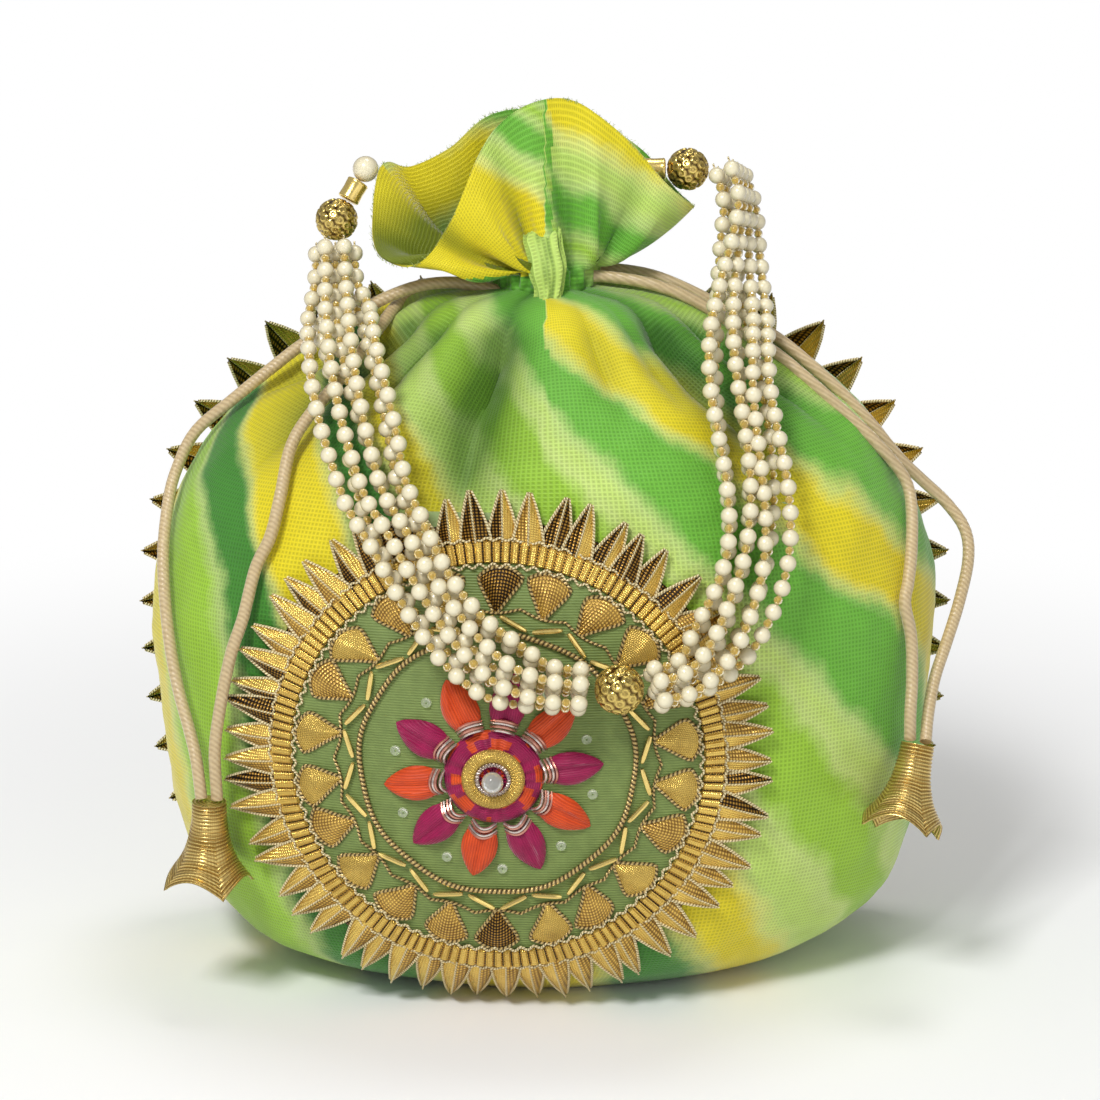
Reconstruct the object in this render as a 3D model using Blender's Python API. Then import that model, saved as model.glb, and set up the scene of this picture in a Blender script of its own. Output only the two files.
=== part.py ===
"""Potli bag: a round drawstring pouch with a gathered neck, a gold medallion and a pearl handle.

The bag stands on its flat base at z = 0. X is to the right, Y points away from the front, Z is up.
"""
import math

import bmesh
import bpy
import numpy as np
from mathutils import Vector

# All sizes below are in millimetres and angles in degrees
MM = 0.001
GAP = 0.3

# Cloth body
BODY_HALF_WIDTH = 113.5
BODY_HALF_DEPTH = 68.0
BODY_HEIGHT = 194.0
BODY_ROUNDNESS = 2.15
CLOTH = 1.2
BASE_HALF_WIDTH = 55.0
BASE_HALF_DEPTH = 38.0
BASE_FLANGE = 7.0
LINING_START = 0.04
LINING_FLOOR_SHARE = 0.97
# Share of the body's half width and depth at each share of its height, between the base and the neck
BODY_SHAPE = (
    (0.012, 0.62), (0.045, 0.76), (0.11, 0.88), (0.22, 0.955), (0.35, 0.99), (0.5, 1.0),
    (0.64, 0.975), (0.76, 0.895), (0.85, 0.77), (0.91, 0.64), (0.955, 0.46), (0.985, 0.27),
)
COLUMNS = 40

# Folds that run from the neck down the shoulder
FOLDS = 10
FOLD_DEPTH = 3.2
VALLEY_DEPTH = 7.5
FOLD_START = 0.8
FOLD_PEAK = 0.93

# Neck and frill
NECK_RADIUS = 9.0
NECK_TOP = 206.0
FRILL_ROWS = 5
# Rim of the frill as (x, y, height above the neck), from the right tip over the back and round
FRILL_RIM = (
    (42.0, -3.0, 15.5), (37.5, 8.5, 20.5), (28.5, 11.0, 33.0), (18.5, 10.5, 41.0), (9.0, 9.5, 45.5),
    (0.0, 9.0, 47.0), (-10.0, 9.0, 46.0), (-18.0, 9.5, 42.0), (-27.0, 10.0, 32.0), (-38.0, 8.0, 26.0),
    (-46.3, 1.0, 26.5), (-48.0, -8.0, 15.0), (-46.5, -17.0, 4.5), (-38.0, -20.0, 3.0), (-28.0, -16.0, 12.0),
    (-18.5, -10.0, 29.0), (-8.0, -7.5, 40.5), (6.0, -7.5, 43.5), (19.0, -8.5, 36.5), (33.0, -10.0, 22.0),
)

# Drawstrings and the casing that they run in
CORD_DIAMETER = 4.0
LOOP_CLEARANCE = 1.0
LEFT_LOOP_HEIGHT = 197.6
RIGHT_LOOP_HEIGHT = 202.4
CORD_SPACING = 7.0
LOOP_SLIT = 34.0
LOOP_STEPS = 12
CASING_THICKNESS = 1.0
CASING_HALF_ANGLE = 44.0
CASING_COLUMNS = 12

# Medallion, drawn on the front of the body round its own centre
MEDALLION_X = -13.0
MEDALLION_Z = 78.0
MEDALLION_CLOTH_RADIUS = 58.0
MEDALLION_CLOTH = 0.8
POINTS = 57
POINT_TIP_RADIUS = 74.0
POINT_VALLEY_RADIUS = 65.0
POINT_STAND_OFF = 1.6
RIBBON = 0.8
BAND_INNER_RADIUS = 56.6
BAND_WIDTH = 5.4
FAN_PETALS = 22
FAN_APEX_RADIUS = 44.6
FAN_RIM_RADIUS = 55.0
FAN_RELIEF = 1.3
FAN_RIM_WAVE = 2.4
BUGLES = 28
BUGLE_INNER_RADIUS = 39.6
BUGLE_OUTER_RADIUS = 42.4
BUGLE_RADIUS = 0.9
RING_CORD_RADIUS = 37.6
RING_CORD_THICKNESS = 1.5

# Flower in the middle of the medallion
FLOWER_X = -14.0
FLOWER_Z = 75.0
FLOWER_PETALS = 10
FLOWER_TURN = 7.0
PETAL_START_RADIUS = 16.2
PETAL_TIP_RADIUS = 29.5
PETAL_HALF_WIDTH = 4.4
PETAL_HEIGHT = 2.6
BINDING_RADIUS = 14.5
BINDING_WIDTH = 2.4
FLOWER_BASE_RADIUS = 12.8
FLOWER_BASE_HEIGHT = 1.6
GOLD_RING_RADIUS = 6.6
GOLD_RING_WIDTH = 3.4
CENTRE_BEAD_DIAMETER = 6.0

# Ring of larger ribbon points on the back panel, just behind the widest outline
REAR_POINTS = 48
REAR_CENTRE_Z = 98.0
REAR_PLANE_Y = 22.0
REAR_TOP_SHIFT = 16.0
REAR_BOTTOM_SHIFT = 35.0
REAR_POINT_LENGTH = 12.0
REAR_STAND_OFF = 6.0
REAR_BAND_WIDTH = 5.0
REAR_SEAT = 0.9

# Handle: pearl strands, beads, caps and end pearls
PEARL = 4.8
END_PEARL_DIAMETER = 7.4
CAP_DIAMETER = 6.4
CAP_LENGTH = 6.2
CAP_EDGE = 0.4
END_BEAD_DIAMETER = 12.0
MIDDLE_BEAD_DIAMETER = 13.6
BEAD_RELIEF = 0.35
HANDLE_AXIS_Y = 1.0
HANDLE_AXIS_Z = 231.6
LEFT_PEARL_X = -50.6
LEFT_CHAIN = (-0.49, -0.28, -0.82)
RIGHT_BEAD_X = 40.3
STRANDS = 7
STRAND_GAP = 0.55
STRAND_SPACING = 12.0
# Height up to which the strands lie on the body, their outward side above it, and the heights between
SHOULDER_HEIGHT = 172.0
LEFT_HINT = (0.0, -0.95, 0.3)
LEFT_TURN_HEIGHTS = (200.0, 175.0)
RIGHT_HINT = (1.0, 0.0, 1.0)
RIGHT_TURN_HEIGHTS = (222.0, 184.0)

# Tassels
BELL_HEIGHT = 23.0
BELL_TOP_RADIUS = 4.7
BELL_RIM_RADIUS = 12.4
BELL_WALL = 0.8
BELL_WAVES = 4
BELL_WAVE_DEPTH = 1.4
BELL_COLUMNS = 20

# Route of each drawstring tail, from the tassel's collar to the slit in the casing
LEFT_OUTER = (
    (-96.2, -52.0, 62.6), (-97.6, -49.5, 73.3), (-100.0, -44.5, 81.0),
    (-103.5, -38.0, 91.2), (-106.4, -32.2, 106.0),
    (-108.0, -25.0, 124.8), (-107.2, -16.6, 138.2), (-105.4, -9.5, 146.5),
    (-99.8, -7.5, 157.5), (-88.9, -10.0, 167.3),
    (-77.0, -10.0, 177.0), (-66.8, -8.0, 184.3), (-49.2, -7.0, 194.2),
    (-36.7, -7.0, 199.4), (-26.2, -6.6, 200.6),
    (-17.5, -6.0, 199.0),
)
LEFT_INNER = (
    (-91.8, -52.0, 62.4), (-92.0, -52.8, 77.1), (-89.9, -53.0, 91.2),
    (-86.7, -53.5, 105.5), (-83.2, -53.0, 115.7),
    (-79.7, -50.6, 129.1), (-75.4, -50.6, 138.2), (-72.6, -48.1, 149.2),
    (-70.1, -42.2, 161.0), (-65.2, -38.5, 169.2),
    (-55.4, -32.4, 180.0), (-46.4, -15.0, 189.6), (-41.0, -2.0, 194.2),
    (-34.0, 1.6, 197.0), (-26.5, 2.4, 198.2),
    (-17.5, 4.0, 197.8),
)
RIGHT_OUTER = (
    (107.2, -42.5, 76.1), (108.4, -36.4, 82.5), (110.8, -29.0, 90.6),
    (114.6, -22.6, 99.3), (118.3, -18.2, 109.7),
    (121.0, -15.0, 121.6), (120.2, -12.0, 129.8), (115.0, -9.4, 137.0),
    (107.5, -10.2, 144.2), (100.4, -12.6, 151.4),
    (92.6, -13.6, 161.0), (84.2, -11.2, 169.6), (74.2, -8.2, 178.2),
    (65.4, -4.6, 184.6), (53.7, -0.6, 190.4),
    (41.4, 2.0, 196.6), (30.0, 4.0, 200.8), (18.0, 5.4, 202.4),
)
RIGHT_INNER = (
    (102.8, -42.5, 77.0), (102.6, -43.0, 84.5), (103.2, -39.6, 93.5),
    (102.9, -36.6, 105.3), (100.8, -37.4, 115.2),
    (101.9, -34.8, 120.8), (103.0, -30.6, 128.9), (103.4, -25.0, 138.3),
    (102.8, -19.8, 144.2), (99.9, -19.2, 149.6),
    (92.5, -20.6, 158.2), (84.0, -18.6, 166.1), (73.9, -16.6, 174.9),
    (65.3, -12.6, 181.4), (53.1, -10.4, 189.4),
    (40.9, -8.4, 196.4), (29.6, -7.4, 200.4), (18.0, -5.6, 202.0),
)

# Middle line of each half of the handle, from the end bead to the middle bead
LEFT_STRANDS = (
    (-59.0, -7.0, 212.2), (-58.8, -11.8, 204.2), (-57.8, -20.5, 196.4),
    (-55.6, -35.5, 188.4), (-52.6, -47.5, 177.0),
    (-48.8, -56.0, 164.2), (-44.6, -63.0, 151.6), (-38.5, -69.0, 142.0),
    (-31.5, -73.6, 129.3), (-21.5, -76.8, 116.3),
    (-9.4, -79.0, 107.2), (2.7, -79.4, 103.7), (12.8, -79.4, 103.2),
)
RIGHT_STRANDS = (
    (51.1, 1.0, 233.2), (53.6, 0.2, 229.4), (54.2, -2.2, 224.4),
    (54.2, -5.4, 217.5), (53.4, -11.0, 206.0),
    (53.4, -20.0, 196.6), (53.4, -34.5, 187.6), (54.2, -45.0, 176.0),
    (55.9, -52.6, 163.4), (57.0, -58.8, 150.6),
    (56.2, -63.4, 137.6), (53.4, -68.0, 127.4), (48.7, -71.8, 117.2),
    (43.3, -74.6, 109.5), (36.5, -77.0, 104.6),
    (27.2, -79.4, 103.2),
)
MIDDLE_BEAD = (20.0, -79.4, 103.2)

# Places of the strands across the rope, in pearl pitches (sideways, outward): packed round or in two layers
PACKED = ((-0.5, 0.866), (0.5, 0.866), (-1.0, 0.0), (0.0, 0.0), (1.0, 0.0), (-0.5, -0.866), (0.5, -0.866))
SPREAD = (
    (-0.54, 0.48), (0.54, 0.48), (-1.64, 0.48), (0.0, -0.48),
    (1.64, 0.48), (-1.1, -0.48), (1.1, -0.48),
)

# Tassels: middle of the collar's top face and the way that the bell points
LEFT_BELL = ((-94.0, -52.0, 61.7), (-0.03, 0.02, -1.0))
RIGHT_BELL = ((105.0, -42.5, 75.3), (-0.20, -0.32, -0.93))

COLOURS = {
    "cloth": ((0.40, 0.66, 0.12, 1), 0.75, 0.0),
    "lining": ((0.55, 0.70, 0.30, 1), 0.8, 0.0),
    "silk": ((0.22, 0.36, 0.09, 1), 0.6, 0.0),
    "gold_ribbon": ((0.72, 0.50, 0.15, 1), 0.35, 0.9),
    "magenta_silk": ((0.42, 0.0, 0.09, 1), 0.55, 0.0),
    "orange_silk": ((0.80, 0.12, 0.01, 1), 0.55, 0.0),
    "satin_cord": ((0.45, 0.34, 0.20, 1), 0.4, 0.0),
    "pearl": ((0.86, 0.82, 0.70, 1), 0.2, 0.0),
    "gold_metal": ((0.75, 0.52, 0.18, 1), 0.25, 1.0),
    "glass_bead": ((0.55, 0.56, 0.55, 1), 0.1, 0.0),
}


def clear_scene():
    for item in list(bpy.data.objects):
        bpy.data.objects.remove(item, do_unlink=True)


def material(slot):
    made = bpy.data.materials.get(slot)
    if made is None:
        colour, roughness, metallic = COLOURS[slot]
        made = bpy.data.materials.new(slot)
        made.use_nodes = True
        shader = made.node_tree.nodes["Principled BSDF"]
        shader.inputs["Base Color"].default_value = colour
        shader.inputs["Roughness"].default_value = roughness
        shader.inputs["Metallic"].default_value = metallic
        made.diffuse_color = colour
    return made


def add_object(name, data, slot, parent=None):
    item = bpy.data.objects.new(name, data)
    bpy.context.scene.collection.objects.link(item)
    data.materials.append(material(slot))
    if parent is not None:
        item.parent = parent
        item.matrix_parent_inverse = parent.matrix_world.inverted()
    return item


def mesh_object(name, points, faces, slot, parent=None):
    """A closed body from points in millimetres, with its faces turned outward."""
    mesh = bpy.data.meshes.new(name)
    mesh.from_pydata([tuple(np.asarray(p, float) * MM) for p in points], [], faces)
    work = bmesh.new()
    work.from_mesh(mesh)
    bmesh.ops.recalc_face_normals(work, faces=work.faces)
    work.to_mesh(mesh)
    work.free()
    mesh.shade_smooth()
    mesh.set_sharp_from_angle(angle=math.radians(35))
    return add_object(name, mesh, slot, parent)


def smooth_value(x, xs, ys):
    """A smooth curve through the points (xs, ys) that never overshoots them."""
    xs = np.asarray(xs, float)
    ys = np.asarray(ys, float)
    slopes = np.diff(ys) / np.diff(xs)
    tangents = np.concatenate(([slopes[0]], (slopes[:-1] + slopes[1:]) / 2, [slopes[-1]]))
    turning = slopes[:-1] * slopes[1:] <= 0
    tangents[1:-1][turning] = 0.0
    limit = 3 * np.minimum(np.abs(np.append(slopes[0], slopes)), np.abs(np.append(slopes, slopes[-1])))
    tangents = np.clip(tangents, -limit, limit)
    i = int(np.clip(np.searchsorted(xs, x) - 1, 0, len(xs) - 2))
    step = xs[i + 1] - xs[i]
    t = float(np.clip((x - xs[i]) / step, 0.0, 1.0))
    rise = (1 + 2 * t) * (1 - t) ** 2 * ys[i] + t * t * (3 - 2 * t) * ys[i + 1]
    return rise + step * (t * (1 - t) ** 2 * tangents[i] - t * t * (1 - t) * tangents[i + 1])


def ease(value):
    value = min(max(value, 0.0), 1.0)
    return value * value * (3 - 2 * value)


def body_half_sizes(share):
    """Half width and half depth of the body at a share of its height."""
    heights = [0.0] + [h for h, _ in BODY_SHAPE] + [1.0]
    widths = [BASE_HALF_WIDTH] + [BODY_HALF_WIDTH * s for _, s in BODY_SHAPE] + [NECK_RADIUS]
    depths = [BASE_HALF_DEPTH] + [BODY_HALF_DEPTH * s for _, s in BODY_SHAPE] + [NECK_RADIUS]
    return smooth_value(share, heights, widths), smooth_value(share, heights, depths)


def fold_depth(share):
    """Height of the folds at a share of the body's height."""
    rise = ease((share - FOLD_START) / (FOLD_PEAK - FOLD_START))
    return FOLD_DEPTH * rise * (1 - ease((share - FOLD_PEAK) / (1 - FOLD_PEAK)))


def body_point(angle, share, folded=True):
    half_width, half_depth = body_half_sizes(share)
    x, y = oval_point(half_width, half_depth, angle)
    if folded:
        wave = (1 + math.cos(FOLDS * angle)) / 2
        crest = fold_depth(share)
        grow = 1 + crest * (wave - (1 - wave) * VALLEY_DEPTH / FOLD_DEPTH) / math.hypot(x, y)
        x *= grow
        y *= grow
    return np.array((x, y, share * BODY_HEIGHT))


def skin_level(point):
    """0 on the smooth body surface, above 0 outside."""
    share = float(np.clip(point[2] / BODY_HEIGHT, 0.0, 1.0))
    half_width, half_depth = body_half_sizes(share)
    total = (abs(point[0]) / half_width) ** BODY_ROUNDNESS + (abs(point[1]) / half_depth) ** BODY_ROUNDNESS
    return total ** (1 / BODY_ROUNDNESS) - 1


def skin_normal(point):
    step = 0.2
    slope = [skin_level(point + step * axis) - skin_level(point - step * axis) for axis in np.eye(3)]
    return np.array(slope) / np.linalg.norm(slope)


def on_skin(x, z, lift, side=-1):
    """The point on the front (side -1) or back (side 1) of the body at x and z, lifted off the cloth."""
    half_width, half_depth = body_half_sizes(z / BODY_HEIGHT)
    left = max(1 - (abs(x) / half_width) ** BODY_ROUNDNESS, 0.0)
    point = np.array((x, side * half_depth * left ** (1 / BODY_ROUNDNESS), z))
    return point + lift * skin_normal(point)


def spline_point(a, b, c, d, t):
    """A point between b and c, at the share t, on a smooth curve through a, b, c and d."""
    bend = (2 * a - 5 * b + 4 * c - d) * t ** 2
    turn = (3 * b - a - 3 * c + d) * t ** 3
    return 0.5 * (2 * b + (c - a) * t + bend + turn)


def oval_point(half_width, half_depth, angle):
    """A point on the body's rounded oval."""
    power = 2.0 / BODY_ROUNDNESS
    c = math.cos(angle)
    s = math.sin(angle)
    x = half_width * math.copysign(abs(c) ** power, c)
    y = half_depth * math.copysign(abs(s) ** power, s)
    return x, y


def closed_curve(points, count):
    """Evenly numbered points on a smooth closed curve through the given ones."""
    points = np.asarray(points, float)
    size = len(points)
    made = []
    for k in range(count):
        place = k * size / count
        i = int(place)
        t = place - i
        a, b, c, d = (points[(i + j) % size] for j in (-1, 0, 1, 2))
        made.append(spline_point(a, b, c, d, t))
    return np.array(made)


def open_curve(points, spacing):
    """Points about the given spacing apart on a smooth curve through the route's own points."""
    points = np.asarray(points, float)
    padded = np.vstack((2 * points[0] - points[1], points, 2 * points[-1] - points[-2]))
    fine = []
    for i in range(len(points) - 1):
        a, b, c, d = padded[i:i + 4]
        for t in np.linspace(0, 1, 24, endpoint=False):
            fine.append(spline_point(a, b, c, d, t))
    fine = np.vstack((fine, points[-1]))
    run = np.concatenate(([0], np.cumsum(np.linalg.norm(np.diff(fine, axis=0), axis=1))))
    stops = np.linspace(0, run[-1], int(round(run[-1] / spacing)) + 1)
    return np.array([[np.interp(s, run, fine[:, k]) for k in range(3)] for s in stops])


def shell_grid():
    """Outer skin of the pouch, row by row from the base's rim to the frill's rim."""
    angles = [2 * math.pi * k / COLUMNS for k in range(COLUMNS)]
    rows = []
    inner_w = BASE_HALF_WIDTH - BASE_FLANGE
    inner_d = BASE_HALF_DEPTH - BASE_FLANGE
    rows.append([(*oval_point(inner_w, inner_d, a), 0.0) for a in angles])
    for share in [0.0] + [h for h, _ in BODY_SHAPE]:
        rows.append([body_point(a, share) for a in angles])
    neck = np.array([(NECK_RADIUS * math.cos(a), NECK_RADIUS * math.sin(a), 0.0) for a in angles])
    rows.append(neck + (0, 0, BODY_HEIGHT))
    rows.append(neck + (0, 0, NECK_TOP))
    rim = closed_curve(FRILL_RIM, COLUMNS) + (0, 0, NECK_TOP)
    for k in range(1, FRILL_ROWS + 1):
        t = k / FRILL_ROWS
        out = t ** 0.85
        up = t ** 1.5
        share = np.array((out, out, up))
        rows.append((neck + (0, 0, NECK_TOP)) * (1 - share) + rim * share)
    return np.array(rows, float)


def grid_normals(grid):
    """Outward normals of a grid that closes on itself along its columns."""
    across = np.roll(grid, -1, axis=1) - np.roll(grid, 1, axis=1)
    along = np.gradient(grid, axis=0)
    normals = np.cross(across, along)
    return normals / np.linalg.norm(normals, axis=2, keepdims=True)


def slab_from_grids(name, outer, inner, slot):
    """A closed sheet between two open grids of the same size."""
    rows, columns = outer.shape[:2]
    points = list(outer.reshape(-1, 3)) + list(inner.reshape(-1, 3))
    half = rows * columns
    faces = []
    for i in range(rows - 1):
        for j in range(columns - 1):
            a = i * columns + j
            faces.append((a, a + 1, a + columns + 1, a + columns))
            faces.append((half + a + columns, half + a + columns + 1, half + a + 1, half + a))
    edge = [j for j in range(columns)]
    edge += [i * columns + columns - 1 for i in range(1, rows)]
    edge += [(rows - 1) * columns + j for j in range(columns - 2, -1, -1)]
    edge += [i * columns for i in range(rows - 2, 0, -1)]
    for k, a in enumerate(edge):
        b = edge[(k + 1) % len(edge)]
        faces.append((a, half + a, half + b, b))
    return mesh_object(name, points, faces, slot)


def add_panels():
    """Front and back panel of the pouch, which meet along the side seams."""
    outer = shell_grid()
    normals = grid_normals(outer)
    normals[0] = (0, 0, -1)
    normals[1] = (0, 0, -1)
    inner = outer - CLOTH * normals
    half = COLUMNS // 2
    back = ("bag_back_panel", range(0, half + 1), GAP / 2)
    front = ("bag_front_panel", range(half, COLUMNS + 1), -GAP / 2)
    for name, columns, shift in (back, front):
        pick = [k % COLUMNS for k in columns]
        slab_from_grids(name, outer[:, pick] + (0, shift, 0), inner[:, pick] + (0, shift, 0), "cloth")


def oval_disc(name, half_width, half_depth, low, high, slot, columns=32):
    points = []
    for z in (low, high):
        for k in range(columns):
            points.append((*oval_point(half_width, half_depth, 2 * math.pi * k / columns), z))
    faces = [tuple(range(columns)), tuple(range(columns, 2 * columns))]
    faces += [(k, (k + 1) % columns, columns + (k + 1) % columns, columns + k) for k in range(columns)]
    return mesh_object(name, points, faces, slot)


def add_lining():
    """A loose inner bag that follows the body up to the neck, open at the top."""
    columns = COLUMNS // 2
    inset = CLOTH + 3 * GAP
    shares = [0.0] + [height for height, _ in BODY_SHAPE if LINING_START < height < FOLD_START]
    outer = []
    for share in shares:
        row = []
        for k in range(columns):
            point = body_point(2 * math.pi * k / columns, share, folded=False)
            row.append(point - inset * skin_normal(point))
        outer.append(row)
    floor = CLOTH + GAP
    outer = np.array(outer)
    outer[0, :, :2] = np.array(outer[0, :, :2]) * (1 - 2 * inset / BASE_HALF_DEPTH)
    outer[0, :, 2] = floor
    normals = grid_normals(outer)
    inner = outer - CLOTH * normals
    inner[0] = outer[0] * (LINING_FLOOR_SHARE, LINING_FLOOR_SHARE, 1.0) + (0, 0, CLOTH)
    rows = len(shares)
    points = list(outer.reshape(-1, 3)) + list(inner.reshape(-1, 3))
    half = rows * columns
    faces = [tuple(range(columns)), tuple(range(half, half + columns))]
    for i in range(rows - 1):
        for j in range(columns):
            a = i * columns + j
            b = i * columns + (j + 1) % columns
            faces.append((a, b, b + columns, a + columns))
            faces.append((half + a, half + b, half + b + columns, half + a + columns))
    top = (rows - 1) * columns
    for j in range(columns):
        a = top + j
        b = top + (j + 1) % columns
        faces.append((a, b, half + b, half + a))
    mesh_object("lining", points, faces, "lining")


def add_casing():
    """Two channel strips round the neck that cover the cords and leave a slit at each side."""
    inner = NECK_RADIUS + GAP
    cover = NECK_RADIUS + LOOP_CLEARANCE + CORD_DIAMETER + GAP
    low = LEFT_LOOP_HEIGHT - CORD_DIAMETER / 2 - GAP
    high = RIGHT_LOOP_HEIGHT + CORD_DIAMETER / 2 + GAP
    wall = CASING_THICKNESS
    outer = cover + wall
    outside = ((inner, low - wall), (outer, low - wall), (outer, high + wall), (inner, high + wall))
    inside = ((inner, high), (cover, high), (cover, low), (inner, low))
    profile = outside + inside
    for name, middle in (("casing_back", 90.0), ("casing_front", 270.0)):
        points = []
        faces = []
        size = len(profile)
        for k in range(CASING_COLUMNS + 1):
            turn = math.radians(middle - CASING_HALF_ANGLE + 2 * CASING_HALF_ANGLE * k / CASING_COLUMNS)
            points += [(r * math.cos(turn), r * math.sin(turn), z) for r, z in profile]
        for k in range(CASING_COLUMNS):
            for i in range(size):
                a = k * size + i
                b = k * size + (i + 1) % size
                faces.append((a, b, b + size, a + size))
        last = CASING_COLUMNS * size
        for start in (0, last):
            faces.append((start, start + 1, start + 6, start + 7))
            faces.append((start + 1, start + 2, start + 5, start + 6))
            faces.append((start + 2, start + 3, start + 4, start + 5))
        mesh_object(name, points, faces, "cloth")


def ring_on_skin(name, profile, columns, slot, centre, side=-1):
    """A closed ring round a centre. profile(k) gives the (radius, lift) corners at column k."""
    points = []
    faces = []
    size = len(profile(0))
    for k in range(columns):
        turn = 2 * math.pi * k / columns
        for radius, lift in profile(k):
            x = centre[0] + radius * math.cos(turn)
            z = centre[1] + radius * math.sin(turn)
            points.append(on_skin(x, z, lift, side))
    for k in range(columns):
        for i in range(size):
            a = k * size + i
            b = k * size + (i + 1) % size
            c = ((k + 1) % columns) * size + (i + 1) % size
            d = ((k + 1) % columns) * size + i
            faces.append((a, b, c, d))
    return mesh_object(name, points, faces, slot)


def disc_on_skin(name, radii, low, high, columns, slot, centre):
    """A round plate on the cloth: one centre point and rings, below and above."""
    points = []
    faces = []
    for lift in (low, high):
        start = len(points)
        points.append(on_skin(centre[0], centre[1], lift))
        for radius in radii:
            for k in range(columns):
                turn = 2 * math.pi * k / columns
                x = centre[0] + radius * math.cos(turn)
                z = centre[1] + radius * math.sin(turn)
                points.append(on_skin(x, z, lift))
        for k in range(columns):
            after = (k + 1) % columns
            faces.append((start, start + 1 + k, start + 1 + after))
            for r in range(len(radii) - 1):
                a = start + 1 + r * columns
                faces.append((a + k, a + after, a + columns + after, a + columns + k))
    rim = 1 + (len(radii) - 1) * columns
    half = len(points) // 2
    for k in range(columns):
        after = (k + 1) % columns
        faces.append((rim + k, rim + after, half + rim + after, half + rim + k))
    return mesh_object(name, points, faces, slot)


def add_medallion():
    centre = (MEDALLION_X, MEDALLION_Z)
    seat = 2 * GAP
    cloth_top = seat + MEDALLION_CLOTH
    radii = [MEDALLION_CLOTH_RADIUS * share for share in (0.28, 0.55, 0.8, 1.0)]
    disc_on_skin("medallion_cloth", radii, seat, cloth_top, 36, "silk", centre)
    inner = MEDALLION_CLOTH_RADIUS + 2 * GAP

    def points_profile(k):
        top = seat + RIBBON
        middle = (inner + POINT_VALLEY_RADIUS) / 2
        if k % 2:
            return ((inner, seat), (middle, seat), (POINT_VALLEY_RADIUS, seat), (POINT_VALLEY_RADIUS, top),
                    (middle, top), (inner, top))
        lift = POINT_STAND_OFF
        return ((inner, seat), (POINT_VALLEY_RADIUS, seat), (POINT_TIP_RADIUS, seat + lift),
                (POINT_TIP_RADIUS - 0.5, top + lift), (POINT_VALLEY_RADIUS, top + lift / 2), (inner, top))

    ring_on_skin("petal_ring", points_profile, 2 * POINTS, "gold_ribbon", centre)
    band_low = cloth_top + 1.7 * GAP
    band = ((BAND_INNER_RADIUS, band_low), (BAND_INNER_RADIUS + BAND_WIDTH, band_low),
            (BAND_INNER_RADIUS + BAND_WIDTH, band_low + RIBBON), (BAND_INNER_RADIUS, band_low + RIBBON))
    ring_on_skin("ribbon_band", lambda k: band, 44, "gold_ribbon", centre)
    fan_low = cloth_top + GAP
    fan_high = fan_low + 0.6

    def fan_profile(k):
        rise_out = FAN_RELIEF if k % 4 else 0.0
        rise_in = FAN_RELIEF if k % 4 == 2 else 0.0
        apex = FAN_APEX_RADIUS - (0.8 if k % 4 == 2 else 0.0)
        rim = FAN_RIM_RADIUS + FAN_RIM_WAVE * (0.5 * math.cos(math.pi * (k % 4 - 2) / 2) if k % 4 else -1.0)
        middle = (FAN_APEX_RADIUS + FAN_RIM_RADIUS) / 2
        crown = fan_high + 0.5 * (rise_out + rise_in)
        edge = fan_high + 0.6 * rise_out
        return ((apex, fan_low), (rim, fan_low), (rim, edge), (middle, crown), (apex, fan_high))

    ring_on_skin("fan_petal_ring", fan_profile, 4 * FAN_PETALS, "gold_ribbon", centre)

    def bugle_profile(k):
        middle = BUGLE_OUTER_RADIUS if k % 2 else BUGLE_INNER_RADIUS
        lift = cloth_top + GAP + BUGLE_RADIUS
        return round_profile(middle, lift, BUGLE_RADIUS, 6)

    ring_on_skin("bugle_bead_ring", bugle_profile, BUGLES, "gold_metal", centre)
    half = RING_CORD_THICKNESS / 2
    cord = round_profile(RING_CORD_RADIUS, cloth_top + GAP + half, half, 5)
    ring_on_skin("twisted_cord_ring", lambda k: cord, 36, "gold_metal", centre)


def round_profile(radius, lift, half, sides):
    turns = [2 * math.pi * (i + 0.5) / sides for i in range(sides)]
    return tuple((radius + half * math.cos(t), lift + half * math.sin(t)) for t in turns)


def add_flower():
    centre = (FLOWER_X, FLOWER_Z)
    low = 2 * GAP + MEDALLION_CLOTH + 1.5 * GAP
    base_top = low + FLOWER_BASE_HEIGHT
    disc_on_skin("flower_base", (6.0, FLOWER_BASE_RADIUS - 0.8, FLOWER_BASE_RADIUS), low, base_top, 20,
                 "magenta_silk", centre)
    half = BINDING_WIDTH / 2
    binding = round_profile(BINDING_RADIUS, low + half, half, 5)
    ring_on_skin("wire_binding_ring", lambda k: binding, 24, "gold_metal", centre)
    ring_low = base_top + GAP
    half = GOLD_RING_WIDTH / 2
    gold = ((GOLD_RING_RADIUS - half, ring_low), (GOLD_RING_RADIUS + half, ring_low),
            (GOLD_RING_RADIUS + half * 0.6, ring_low + 1.4), (GOLD_RING_RADIUS - half * 0.6, ring_low + 1.4))
    ring_on_skin("woven_gold_ring", lambda k: gold, 24, "gold_ribbon", centre)
    radius = CENTRE_BEAD_DIAMETER / 2
    sphere("centre_bead", on_skin(centre[0], centre[1], base_top + GAP + radius), radius, 12, 8, "glass_bead")
    for k in range(FLOWER_PETALS):
        turn = math.radians(FLOWER_TURN + 360.0 * k / FLOWER_PETALS)
        slot = "magenta_silk" if k % 2 == 0 else "orange_silk"
        add_flower_petal(f"flower_petal_{k + 1:02d}", turn, low, slot, centre)


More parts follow.
